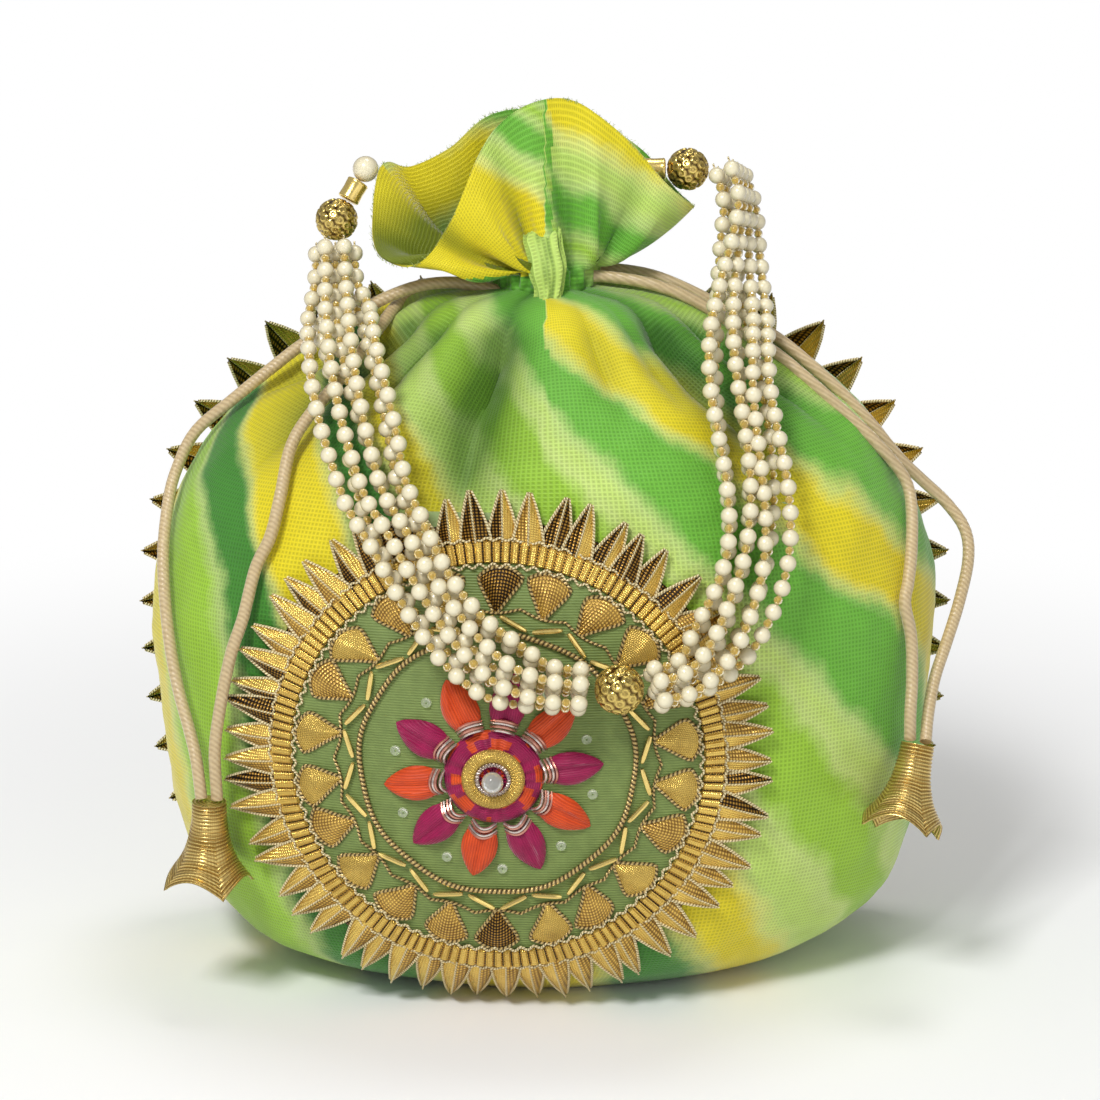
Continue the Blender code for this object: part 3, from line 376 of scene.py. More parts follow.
BRIGHT_GOLD = metal_material("bright_gold", rgb(252, 226, 140), rgb(170, 122, 44), 0.22)
# Gold of the filigree beads, with painted shade in their pits.
PIT_SHADED_GOLD = metal_material("gold_with_painted_pit_shade", rgb(255, 226, 130), rgb(74, 44, 12), 0.2, True)
PEARLS = pearl_material()
SEEDS = glass_material("gold_lined_seed", rgb(232, 200, 104), 0.55)
GREY_BEAD = glass_material("grey_bead", rgb(196, 196, 190), 0.45)
SEQUIN = glass_material("clear_sequin", rgb(214, 224, 190), 0.6)
CLOTH = cloth_material()
LINING = lining_material()
CORD = cord_material()
RIBBON = (PALE_GOLD, DARK_GOLD, CREAM_THREAD)


class Pile:
    """The points, faces and surface coordinates of one piece."""

    def __init__(self):
        self.points = []
        self.faces = []
        self.slots = []
        self.corners = []
        self.count = 0

    def add(self, points, faces, corners, slot):
        self.points.append(np.asarray(points, float).reshape(-1, 3))
        self.faces.append(np.asarray(faces, int) + self.count)
        self.corners.append(np.asarray(corners, float))
        self.slots.append(np.full(len(faces), slot) if np.isscalar(slot) else np.asarray(slot))
        self.count += len(self.points[-1])

    def grid(self, grid, places, slot=0, wrap=False):
        """A sheet over a grid of points. places holds (u, v), with one column more where the grid wraps."""
        grid = np.asarray(grid, float)
        places = np.asarray(places, float)
        rows, columns = grid.shape[:2]
        i, j = np.meshgrid(np.arange(rows - 1), np.arange(columns if wrap else columns - 1), indexing="ij")
        after = (j + 1) % columns
        low = i * columns
        high = low + columns
        faces = np.stack((low + j, low + after, high + after, high + j), -1)
        corners = np.stack((places[i, j], places[i, j + 1], places[i + 1, j + 1], places[i + 1, j]), 2)
        slots = slot if np.isscalar(slot) else slot(i, j).reshape(-1)
        self.add(grid, faces.reshape(-1, 4), corners.reshape(-1, 4, 2), slots)

    def tube(self, path, radius, sides=6, slot=0, closed=False):
        """A round tube along a path, with u once round it and v along it in millimetres."""
        path = np.asarray(path, float)
        if closed:
            tangents = np.roll(path, -1, axis=0) - np.roll(path, 1, axis=0)
        else:
            tangents = np.gradient(path, axis=0)
        tangents /= np.linalg.norm(tangents, axis=1, keepdims=True) + 1e-12
        hint = np.where(np.abs(tangents[:, 1:2]) < 0.9, (0.0, 1.0, 0.0), (1.0, 0.0, 0.0))
        side = unit(np.cross(tangents, hint))
        other = np.cross(tangents, side)
        turns = around(sides)[:, None]
        radius = np.broadcast_to(radius, len(path))[:, None, None]
        grid = path[:, None] + radius * (np.cos(turns) * side[:, None] + np.sin(turns) * other[:, None])
        run = run_along(path)
        if closed:
            grid = np.concatenate((grid, grid[:1]))
            run = np.append(run, run[-1] + np.linalg.norm(path[0] - path[-1]))
        self.grid(grid, pairs(np.linspace(0, 1, sides + 1), run), slot, wrap=True)

    def ball(self, centre, radius, columns=16, rows=10, slot=0, shape=None):
        polar = np.linspace(0.02, math.pi - 0.02, rows + 1)[:, None]
        turn = around(columns)[None]
        flat = np.sin(polar)
        ways = np.stack((flat * np.cos(turn), flat * np.sin(turn), np.cos(polar) + 0 * turn), -1)
        size = radius if shape is None else shape(ways)[..., None]
        places = pairs(np.linspace(0, 1, columns + 1), np.linspace(0, 1, rows + 1)) * radius * 6
        self.grid(np.asarray(centre) + size * ways, places, slot, wrap=True)

    def make(self, name, materials, body="bag", replaces=(), angle=50):
        points = np.concatenate(self.points) * MM
        mesh = bpy.data.meshes.new(name)
        mesh.from_pydata(points.tolist(), [], np.concatenate(self.faces).tolist())
        layer = mesh.uv_layers.new(name="UVMap")
        layer.data.foreach_set("uv", np.concatenate([c.reshape(-1, 2) for c in self.corners]).ravel())
        mesh.polygons.foreach_set("material_index", np.concatenate(self.slots).astype(int))
        for material in materials:
            mesh.materials.append(material)
        mesh.shade_smooth()
        mesh.set_sharp_from_angle(angle=math.radians(angle))
        mesh.update()
        piece = new_object(name, mesh)
        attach(piece, body)
        if replaces:
            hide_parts(*replaces)
        return piece


# Shape of the body, as in the CAD source
def smooth_value(x, xs, ys):
    xs = np.asarray(xs, float)
    ys = np.asarray(ys, float)
    slopes = np.diff(ys) / np.diff(xs)
    tangents = np.concatenate(([slopes[0]], (slopes[:-1] + slopes[1:]) / 2, [slopes[-1]]))
    turning = slopes[:-1] * slopes[1:] <= 0
    tangents[1:-1][turning] = 0.0
    limit = 3 * np.minimum(np.abs(np.append(slopes[0], slopes)), np.abs(np.append(slopes, slopes[-1])))
    tangents = np.clip(tangents, -limit, limit)
    i = np.clip(np.searchsorted(xs, x) - 1, 0, len(xs) - 2)
    step = xs[i + 1] - xs[i]
    t = np.clip((x - xs[i]) / step, 0.0, 1.0)
    rise = (1 + 2 * t) * (1 - t) ** 2 * ys[i] + t * t * (3 - 2 * t) * ys[i + 1]
    return rise + step * (t * (1 - t) ** 2 * tangents[i] - t * t * (1 - t) * tangents[i + 1])


SHARES = np.linspace(0, 1, 1601)
KNOTS = [0.0] + [h for h, _ in BODY_SHAPE] + [1.0]


def profile_sizes(at_base, largest):
    return smooth_value(SHARES, KNOTS, [at_base] + [largest * s for _, s in BODY_SHAPE] + [NECK_RADIUS])


WIDTHS = profile_sizes(BASE_HALF_WIDTH, BODY_HALF_WIDTH)
DEPTHS = profile_sizes(BASE_HALF_DEPTH, BODY_HALF_DEPTH)
WIDTH_SLOPES = np.gradient(WIDTHS, SHARES * BODY_HEIGHT)
DEPTH_SLOPES = np.gradient(DEPTHS, SHARES * BODY_HEIGHT)


def ease(value):
    value = np.clip(value, 0.0, 1.0)
    return value * value * (3 - 2 * value)


def half_sizes(z):
    share = np.clip(np.asarray(z, float) / BODY_HEIGHT, 0, 1)
    return np.interp(share, SHARES, WIDTHS), np.interp(share, SHARES, DEPTHS)


def skin_level(points):
    a, b = half_sizes(points[..., 2])
    total = (np.abs(points[..., 0]) / a) ** BODY_ROUNDNESS + (np.abs(points[..., 1]) / b) ** BODY_ROUNDNESS
    return total ** (1 / BODY_ROUNDNESS) - 1


def skin_normals(points):
    points = np.asarray(points, float)
    a, b = half_sizes(points[..., 2])
    share = np.clip(points[..., 2] / BODY_HEIGHT, 0, 1)
    a_slope = np.interp(share, SHARES, WIDTH_SLOPES)
    b_slope = np.interp(share, SHARES, DEPTH_SLOPES)
    x = np.abs(points[..., 0]) / a
    y = np.abs(points[..., 1]) / b
    n = BODY_ROUNDNESS
    slope = np.stack((x ** (n - 1) * np.sign(points[..., 0]) / a, y ** (n - 1) * np.sign(points[..., 1]) / b,
                      -(x ** n) * a_slope / a - (y ** n) * b_slope / b), -1)
    return unit(slope)


def on_skin(x, z, lift, side=-1):
    """Points on the front or back of the body at x and z, lifted off the cloth."""
    x, z, lift = np.broadcast_arrays(np.asarray(x, float), np.asarray(z, float), np.asarray(lift, float))
    a, b = half_sizes(z)
    left = np.clip(1 - (np.abs(x) / a) ** BODY_ROUNDNESS, 0.0, None)
    points = np.stack((x, side * b * left ** (1 / BODY_ROUNDNESS), z), -1)
    return points + lift[..., None] * skin_normals(points)


def round_centre(centre, radius, turn, lift):
    return on_skin(centre[0] + radius * np.cos(turn), centre[1] + radius * np.sin(turn), lift)


def spline(a, b, c, d, t):
    square = (2 * a - 5 * b + 4 * c - d) * t ** 2
    cube = (3 * b - a - 3 * c + d) * t ** 3
    return 0.5 * (2 * b + (c - a) * t + square + cube)


def closed_curve(points, count):
    points = np.asarray(points, float)
    place = np.arange(count) * len(points) / count
    i = place.astype(int)
    t = (place - i)[:, None]
    return spline(*(points[(i + j) % len(points)] for j in (-1, 0, 1, 2)), t)


def open_curve(points, spacing):
    points = np.asarray(points, float)
    padded = np.vstack((2 * points[0] - points[1], points, 2 * points[-1] - points[-2]))
    t = np.linspace(0, 1, 24, endpoint=False)[:, None]
    fine = [spline(*padded[i:i + 4], t) for i in range(len(points) - 1)]
    fine = np.vstack(fine + [points[-1:]])
    run = run_along(fine)
    stops = np.linspace(0, run[-1], int(round(run[-1] / spacing)) + 1)
    return at_run(stops, run, fine)


# Routes of the drawstring tails and of the handle's ropes, as in the CAD source
LEFT_OUTER = (
    (-96.2, -52.0, 62.6), (-97.6, -49.5, 73.3), (-100.0, -44.5, 81.0), (-103.5, -38.0, 91.2),
    (-106.4, -32.2, 106.0), (-108.0, -25.0, 124.8), (-107.2, -16.6, 138.2), (-105.4, -9.5, 146.5),
    (-99.8, -7.5, 157.5), (-88.9, -10.0, 167.3), (-77.0, -10.0, 177.0), (-66.8, -8.0, 184.3),
    (-49.2, -7.0, 194.2), (-36.7, -7.0, 199.4), (-26.2, -6.6, 200.6), (-17.5, -6.0, 199.0),
)
LEFT_INNER = (
    (-91.8, -52.0, 62.4), (-92.0, -52.8, 77.1), (-89.9, -53.0, 91.2), (-86.7, -53.5, 105.5),
    (-83.2, -53.0, 115.7), (-79.7, -50.6, 129.1), (-75.4, -50.6, 138.2), (-72.6, -48.1, 149.2),
    (-70.1, -42.2, 161.0), (-65.2, -38.5, 169.2), (-55.4, -32.4, 180.0), (-46.4, -15.0, 189.6),
    (-41.0, -2.0, 194.2), (-34.0, 1.6, 197.0), (-26.5, 2.4, 198.2), (-17.5, 4.0, 197.8),
)
RIGHT_OUTER = (
    (107.2, -42.5, 76.1), (108.4, -36.4, 82.5), (110.8, -29.0, 90.6), (114.6, -22.6, 99.3),
    (118.3, -18.2, 109.7), (121.0, -15.0, 121.6), (120.2, -12.0, 129.8), (115.0, -9.4, 137.0),
    (107.5, -10.2, 144.2), (100.4, -12.6, 151.4), (92.6, -13.6, 161.0), (84.2, -11.2, 169.6),
    (74.2, -8.2, 178.2), (65.4, -4.6, 184.6), (53.7, -0.6, 190.4), (41.4, 2.0, 196.6),
    (30.0, 4.0, 200.8), (18.0, 5.4, 202.4),
)
RIGHT_INNER = (
    (102.8, -42.5, 77.0), (102.6, -43.0, 84.5), (103.2, -39.6, 93.5), (102.9, -36.6, 105.3),
    (100.8, -37.4, 115.2), (101.9, -34.8, 120.8), (103.0, -30.6, 128.9), (103.4, -25.0, 138.3),
    (102.8, -19.8, 144.2), (99.9, -19.2, 149.6), (92.5, -20.6, 158.2), (84.0, -18.6, 166.1),
    (73.9, -16.6, 174.9), (65.3, -12.6, 181.4), (53.1, -10.4, 189.4), (40.9, -8.4, 196.4),
    (29.6, -7.4, 200.4), (18.0, -5.6, 202.0),
)
LEFT_STRANDS = (
    (-59.0, -7.0, 212.2), (-58.8, -11.8, 204.2), (-57.8, -20.5, 196.4), (-55.6, -35.5, 188.4),
    (-52.6, -47.5, 177.0), (-48.8, -56.0, 164.2), (-44.6, -63.0, 151.6), (-38.5, -69.0, 142.0),
    (-31.5, -73.6, 129.3), (-21.5, -76.8, 116.3), (-9.4, -79.0, 107.2), (2.7, -79.4, 103.7),
    (12.8, -79.4, 103.2),
)
RIGHT_STRANDS = (
    (51.1, 1.0, 233.2), (53.6, 0.2, 229.4), (54.2, -2.2, 224.4), (54.2, -5.4, 217.5),
    (53.4, -11.0, 206.0), (53.4, -20.0, 196.6), (53.4, -34.5, 187.6), (54.2, -45.0, 176.0),
    (55.9, -52.6, 163.4), (57.0, -58.8, 150.6), (56.2, -63.4, 137.6), (53.4, -68.0, 127.4),
    (48.7, -71.8, 117.2), (43.3, -74.6, 109.5), (36.5, -77.0, 104.6), (27.2, -79.4, 103.2),
)
MIDDLE_BEAD = (20.0, -79.4, 103.2)
PACKED = ((-0.5, 0.866), (0.5, 0.866), (-1.0, 0.0), (0.0, 0.0), (1.0, 0.0), (-0.5, -0.866), (0.5, -0.866))
SPREAD = ((-0.54, 0.48), (0.54, 0.48), (-1.64, 0.48), (0.0, -0.48), (1.64, 0.48), (-1.1, -0.48), (1.1, -0.48))
STRAND_PITCH = PEARL + 0.55
CORD_DIAMETER = 4.0


def add_drawstrings():
    """Each drawstring as one curve: a tail, the loop round the neck and the other tail."""
    for side, outer, inner, height, start in (("left", LEFT_OUTER, LEFT_INNER, 197.6, 214.0),
                                              ("right", RIGHT_OUTER, RIGHT_INNER, 202.4, 34.0)):
        turns = np.radians(start + 292.0 * np.arange(13) / 12)
        loop = np.stack((12.0 * np.cos(turns), 12.0 * np.sin(turns), np.full(13, height)), -1)
        route = np.vstack((outer, loop, inner[::-1]))
        path = open_curve(route, 2.5)
        curve = bpy.data.curves.new(f"cord_{side}", "CURVE")
        curve.dimensions = "3D"
        curve.bevel_depth = 0.43 * CORD_DIAMETER * MM
        curve.bevel_resolution = 4
        curve.use_fill_caps = True
        line = curve.splines.new("POLY")
        line.points.add(len(path) - 1)
        line.points.foreach_set("co", np.column_stack((path * MM, np.ones(len(path)))).ravel())
        line.use_smooth = True
        curve.materials.append(CORD)
        piece = new_object(f"cord_{side}", curve)
        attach(piece, "bag")
        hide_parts(f"drawstring_{side}")


def rope_paths(route, hint, packed_start, hint_top, hint_bottom):
    """Centre lines of the seven strands round the rope's middle line, as in the CAD source."""
    middle = open_curve(route, 12.0)
    tangents = unit(np.gradient(middle, axis=0))
    run = np.linspace(0, 1, len(middle))
    near_body = ease((hint_top - middle[:, 2]) / (hint_top - hint_bottom))[:, None]
    beside = np.column_stack((middle[:, :2], np.minimum(middle[:, 2], 172.0)))
    outward = near_body * skin_normals(beside) + (1 - near_body) * np.asarray(hint)
    outward = unit(outward - tangents * np.sum(outward * tangents, axis=1, keepdims=True))
    sideways = np.cross(tangents, outward)
    spread = 1 - ease((run - 0.72) / 0.24)
    if packed_start:
        spread = spread * ease(run / 0.3)
    across = ease(np.minimum(2 * spread, 1.0))[:, None]
    deep = ease(np.maximum(2 * spread - 1, 0.0))[:, None]
    paths = []
    for packed, wide in zip(PACKED, SPREAD):
        a = packed[0] * (1 - across) + wide[0] * across
        b = packed[1] * (1 - deep) + wide[1] * deep
        phase = rng.uniform(0, 6.28, 2)
        wander = 0.9 * np.sin(np.pi * run)[:, None]
        a = a + wander * 0.28 * np.sin(9 * run[:, None] + phase[0])
        b = b + wander * 0.16 * np.sin(12 * run[:, None] + phase[1])
        paths.append(middle + STRAND_PITCH * (a * sideways + b * outward))
    return paths


def add_strand(name, path, node):
    """Pearls with a gold-lined seed bead between each two, threaded on a path."""
    fine = open_curve(path, 0.5)
    run = run_along(fine)
    length = run[-1]
    pitch = PEARL + SEED - 0.65
    count = int(length // pitch)
    pitch = length / count
    pile = Pile()
    for k in range(count):
        centre = at_run((k + 0.5) * pitch, run, fine)
        size = PEARL / 2 * rng.uniform(0.96, 1.0)
        pile.ball(centre, size, 16, 10, 0)
        if k:
            pile.ball(at_run(k * pitch, run, fine), SEED / 2 * rng.uniform(0.92, 1.05), 10, 6, 1)
    pile.tube(fine[::6], 0.3, 5, 2)
    piece = pile.make(name, (PEARLS, SEEDS, CREAM_THREAD), "handle", (node,), 80)


def add_handle_strands():
    left = rope_paths(LEFT_STRANDS, (0.0, -0.95, 0.3), True, 200.0, 175.0)
    right = rope_paths(RIGHT_STRANDS, (1.0, 0.0, 1.0), False, 222.0, 184.0)
    for side, paths in (("left", left), ("right", right)):
        for k, path in enumerate(paths):
            add_strand(f"pearls_{side}_{k + 1}", path, f"pearl_strand_{side}_{k + 1}")


def oval(half_width, half_depth, angle):
    power = 2.0 / BODY_ROUNDNESS
    c = np.cos(angle)
    s = np.sin(angle)
    return half_width * np.sign(c) * np.abs(c) ** power, half_depth * np.sign(s) * np.abs(s) ** power


def degrees_apart(angles, at):
    return np.abs((np.degrees(angles) - at + 180) % 360 - 180)


def crease_depth(angle, share):
    """How far the cloth is drawn in at an angle and a share of the height."""
    total = np.zeros_like(angle)
    for at, width, depth, start in CREASES:
        at = at + 9.0 * np.sin(at * 2.1) * (share - 0.9)
        reach = ease((share - start) / (0.94 - start))
        total += 1.7 * depth * reach * np.exp(-(degrees_apart(angle, at) / width) ** 1.25)
    return total


def roughen(points, scale, amount):
    flat = points.reshape(-1, 3)
    made = np.array([noise.noise(Vector(p) * scale) for p in flat])
    return amount * made.reshape(points.shape[:-1])


def grid_normals(grid):
    """Outward normals of a grid that closes on itself along its columns."""
    across = np.roll(grid, -1, axis=1) - np.roll(grid, 1, axis=1)
    normals = np.cross(across, np.gradient(grid, axis=0))
    return normals / (np.linalg.norm(normals, axis=2, keepdims=True) + 1e-9)


def flat_ring(half_width, half_depth, z, angles):
    x, y = oval(half_width, half_depth, angles)
    return np.stack((x, y, np.full(len(angles), float(z))), -1)


def circle(radius, z, angles):
    return np.stack((radius * np.cos(angles), radius * np.sin(angles), np.full(len(angles), float(z))), -1)


def shoulder_rows(angles):
    """The stuffed body, with the soft folds and deep creases that run down from the gathered neck."""
    shares = np.concatenate((np.linspace(0, 0.1, 14)[:-1], np.linspace(0.1, 0.62, 36)[:-1],
                             np.linspace(0.62, 1.0, 84)))
    rows = []
    for share in shares:
        a, b = half_sizes(share * BODY_HEIGHT)
        wider = (CLOTH_NECK_RADIUS - NECK_RADIUS) * ease((share - 0.9) / 0.1)
        row = flat_ring(a + wider, b + wider, share * BODY_HEIGHT, angles)
        pull = crease_depth(angles, share) * (1 - 0.92 * ease((share - 0.962) / 0.03))
        bulge = 4.2 * ease((share - 0.72) / 0.2) * (1 - ease((share - 0.96) / 0.04))
        beside = row.copy()
        beside[:, 2] = np.minimum(beside[:, 2], 190.0)
        normals = skin_normals(beside)
        row += (bulge - pull)[:, None] * normals
        row[:, 2] += 6.0 * ease((share - 0.93) / 0.07)
        rows.append(row)
    return rows


def frill_fold(angles):
    """How far the frill stands out at each angle."""
    total = 0.5 * np.cos(19 * angles + 1.0)
    for at, width, height in FRILL_FOLDS:
        total = total + height * np.exp(-(degrees_apart(angles, at) / width) ** 1.7)
    return total


def frill_grid(angles, ring):
    """The flared frill above the neck: broad folds that fade towards its rim."""
    neck = circle(ring, NECK_TOP - 1.0, angles)
    rim = closed_curve(FRILL_RIM, len(angles)) + (0, 0, NECK_TOP)
    rows = []
    for t in np.linspace(0, 1, 46):
        share = np.array((t ** 0.72, t ** 0.72, t ** 1.3))
        rows.append(neck * (1 - share) + rim * share)
    grid = np.array(rows)
    steps = np.linspace(0, 1, 46)[:, None]
    size = np.sin(np.pi * np.clip(0.02 + 0.9 * steps ** 0.8, 0, 1)) * (1 - 0.3 * steps)
    grid += (size * frill_fold(angles))[..., None] * grid_normals(grid)
    return grid


def add_cloth():
    """The two panels, the base, the casings and the frill as one sheet of cloth, with its raw edge."""
    columns = 320
    angles = around(columns)
    floor = (0.02, 0.25, 0.5, 0.7, 0.85, 0.95)
    rows = [flat_ring(BASE_HALF_WIDTH * s, BASE_HALF_DEPTH * s, 0.0, angles) for s in floor]
    rows += shoulder_rows(angles)
    pleat = np.cos(22 * angles + 1.3 * np.sin(3 * angles))
    pleat += 0.6 * np.cos(35 * angles + 2.0 * np.sin(5 * angles))
    ring = CLOTH_NECK_RADIUS + 0.2 - np.minimum(0.3 * crease_depth(angles, 1.0), 0.4) + 0.5 * pleat
    for z in np.linspace(BODY_HEIGHT + 6.6, NECK_TOP - 1.6, 6):
        rows.append(circle(ring, z, angles))
    frill = frill_grid(angles, ring)
    inner = frill[::-2] - 0.9 * grid_normals(frill)[::-2]
    outside = len(rows) + len(frill)
    rows += list(frill) + list(inner)
    for z, share in ((203, 0.72), (200, 0.6), (196, 0.5), (190, 0.42)):
        rows.append(circle(ring * share, z, angles))
    grid = np.array(rows, float)
    x, y, z = grid[..., 0], grid[..., 1], grid[..., 2]
    inside = (np.arange(len(grid)) >= outside).astype(float)
    normals = grid_normals(grid)
    body = ease(z / 14.0) * (1 - 0.8 * ease((z - 185) / 12))
    lumps = roughen(grid, 0.022, 2.2) + roughen(grid, 0.06, 1.0) + roughen(grid, 0.16, 0.3)
    lumps = np.where(y > 15, np.minimum(lumps, 0.2), lumps)
    apart = np.hypot(x - MEDALLION[0], z - MEDALLION[1])
    flat = np.where(y < 0, ease((apart - 70) / 16), 1.0)
    grid += (body * flat * lumps)[..., None] * normals
    z[:] = np.maximum(z, 0.0)
    steps = np.linalg.norm(np.diff(grid, axis=0), axis=2).mean(axis=1)
    up = np.concatenate(([0], np.cumsum(steps)))
    pile = Pile()
    pile.grid(grid, pairs(np.linspace(0, 600.0, columns + 1), up), 0, wrap=True)
    nodes = ("bag_front_panel", "bag_back_panel", "bag_base_panel", "casing_front", "casing_back")
    piece = pile.make("striped_cloth", (CLOTH,), "bag", nodes, 70)
    # Painted shade for the inside attribute: darker along the deep creases that run down from the neck.
    share = np.clip(z / BODY_HEIGHT, 0, 1)
    creased = np.array([crease_depth(angles, value) for value in share.mean(axis=1)]) / 11.0
    creased *= (z < NECK_TOP - 4) * (1 - 0.5 * ease((share - 0.97) / 0.03))
    set_values(piece, "stripe", stripe_angles(grid, piece), "CORNER")
    # More painted shade: in the drawn-in folds of the frill, and on the frill's inner face towards its
    # bottom.
    drawn = np.clip(-frill_fold(angles) / 4.5, 0, 1) * ease((244 - z) / 34)
    drawn *= z > NECK_TOP - 3
    dark = inside[:, None] * ease((229 - z) / 18)
    dark += np.clip(creased, 0, 1) ** 1.3 * 0.95 + 0.8 * drawn
    set_values(piece, "inside", np.minimum(dark, 1.0))
    add_fray(frill[-1])
    add_neck_fold()


def set_values(piece, name, values, domain="POINT"):
    layer = piece.data.attributes.new(name, "FLOAT", domain)
    layer.data.foreach_set("value", np.asarray(values, float).ravel())


def stripe_angles(grid, piece):
    """Where each face corner lies in the fan of bands, in degrees. Bands don't meet at the panels' seams."""
    index = np.empty(len(piece.data.loops), int)
    piece.data.loops.foreach_get("vertex_index", index)
    corners = grid.reshape(-1, 3)[index].reshape(-1, 4, 3)
    x, y, z = corners[..., 0], corners[..., 1], corners[..., 2]
    middle = corners.mean(axis=1, keepdims=True)
    front = middle[..., 1] < 0
    depth = np.clip((BODY_HALF_DEPTH - np.abs(y)) / BODY_HALF_DEPTH, 0, 1)
    across = x + np.sign(x) * 24 * depth ** 2
    across = np.where(front, across, 40 - 0.9 * across)
    height = 0.966 * (z - 125) - 0.259 * np.abs(y)
    frill = middle[..., 2] > NECK_TOP - 2
    height = np.where(middle[..., 2] > NECK_TOP - 6, 0.966 * (z - 125) + 0.259 * y, height)
    stripe = np.degrees(np.arctan2(190 - height, across + 158))
    stripe = np.where(frill & (middle[..., 0] < 2), 58 - stripe, stripe)
    return np.where(~front & (middle[..., 2] <= NECK_TOP), stripe + 4, stripe)


def add_neck_fold():
    """The pale fold of cloth that stands out at the front of the neck, over the channel of the cords."""
    path = open_curve(((-1.6, -8.5, 217.0), (-0.4, -13.0, 212.5), (0.8, -15.8, 206.5), (1.2, -17.0, 201.0),
                       (0.6, -18.6, 196.0), (-0.8, -21.5, 190.0)), 0.5)
    t = np.linspace(0, 1, len(path))
    width = 3.0 + 2.4 * (1 - t) ** 1.5 + 0.8 * np.exp(-((t - 0.45) / 0.12) ** 2) - 0.8 * ease((t - 0.7) / 0.3)
    ends = 1 - ((0.12 - t) / 0.12).clip(0) ** 2 - ((t - 0.92) / 0.08).clip(0) ** 2
    width *= np.sqrt(np.clip(ends, 0.002, 1))
    turns = around(64)
    phase = 2.4 * t[:, None] + 0.5 * np.sin(9 * t)[:, None]
    folds = 1 + 0.15 * np.cos(5 * turns + 1 + phase) + 0.11 * np.cos(9 * turns - 1.6 * phase)
    folds += 0.05 * np.cos(14 * turns)
    across = np.cos(turns) * folds
    deep = np.sin(turns) * folds
    grid = path[:, None] + width[:, None, None] * np.stack((across, -0.6 * deep, 0.25 * across), -1)
    pile = Pile()
    pile.grid(grid, pairs(np.linspace(0, 26, 65), t * 34), 0, wrap=True)
    piece = pile.make("neck_fold", (CLOTH,), "bag", (), 70)
    set_values(piece, "stripe", np.full(across.shape, 24.9))
    # Painted shade in the inside attribute: darker in the valleys of the pleats and towards the lower end.
    valley = np.clip((1.04 - folds) / 0.2, 0, 1)
    set_values(piece, "inside", 0.7 * valley + 0.5 * ease((t - 0.75) / 0.25)[:, None])


def add_fray(rim):
    """Loose thread ends along the raw edge of the frill."""
    pile = Pile()
    for _ in range(FRAY_THREADS):
        place = rng.uniform(0, len(rim))
        i = int(place)
        start = rim[i] + (rim[(i + 1) % len(rim)] - rim[i]) * (place - i)
        way = np.array((start[0], start[1], 0.0)) / np.hypot(start[0], start[1]) * 0.5 + (0, 0, 0.85)
        way += rng.normal(0, 0.3, 3)
        reach = rng.uniform(0.15, 0.7)
        bend = rng.normal(0, 0.25, 3)
        line = (start - way * 0.4, start + way * reach * 0.5, start + way * reach + bend)
        pile.tube(line, (0.09, 0.07, 0.04), 3, 0)
    fray = twisted_material("frayed_thread", rgb(206, 220, 130), rgb(150, 182, 84), 0.0, 0.7, 0.8)
    pile.make("frayed_edge", (fray,), "bag", ())


def add_medallion_cloth():
    radii = np.linspace(0.2, SILK_RADIUS, 24)
    turns = around(96)
    r, a = np.meshgrid(radii, turns, indexing="ij")
    grid = round_centre(MEDALLION, r, a, CLOTH_TOP)
    edge = round_centre(MEDALLION, SILK_RADIUS, turns, SEAT - 0.3)
    grid = np.concatenate((grid, edge[None]))
    angle = np.linspace(0, 2 * math.pi, 97)
    wide = np.append(radii, SILK_RADIUS + 0.6)[:, None]
    places = np.stack((wide * np.cos(angle), wide * np.sin(angle)), -1)
    pile = Pile()
    pile.grid(grid, places, 0, wrap=True)
    pile.make("moss_silk_round", (MOSS_SILK,), "bag", ("medallion_cloth",))


def folded_point(pile, place, half, slots=(0, 1)):
    """One folded ribbon point. place(t, q, lift) gives a point, t from root to tip and q across."""
    t, q = np.meshgrid(np.linspace(0, 1, 7), np.linspace(-1, 1, 9), indexing="ij")
    width = 1 - POINT_SHARE * t ** 1.35
    roof = (1 - np.abs(q) ** 1.2) * (0.8 + 3.4 * t * (1 - t) + 0.5 * t) + 0.35 * (q > 0.12) * (1 - np.abs(q))
    lift = 0.15 + roof
    grid = place(t, q * width, lift)
    u = q * half * width
    pile.grid(grid, np.stack((u + 7, t * 14), -1), lambda i, j: np.where(j >= 4, slots[1], slots[0]))
    for side in (-1, 1):
        steps = np.linspace(0, 1, 6)
        line = place(steps, side * (1 - POINT_SHARE * steps ** 1.35), 0.45)
        pile.tube(line, 0.42, 5, 2)
    steps = np.linspace(0.05, 1, 6)
    pile.tube(place(steps, 0.02, 1.1 + 3.4 * steps * (1 - steps) + 0.5 * steps), 0.26, 4, 2)


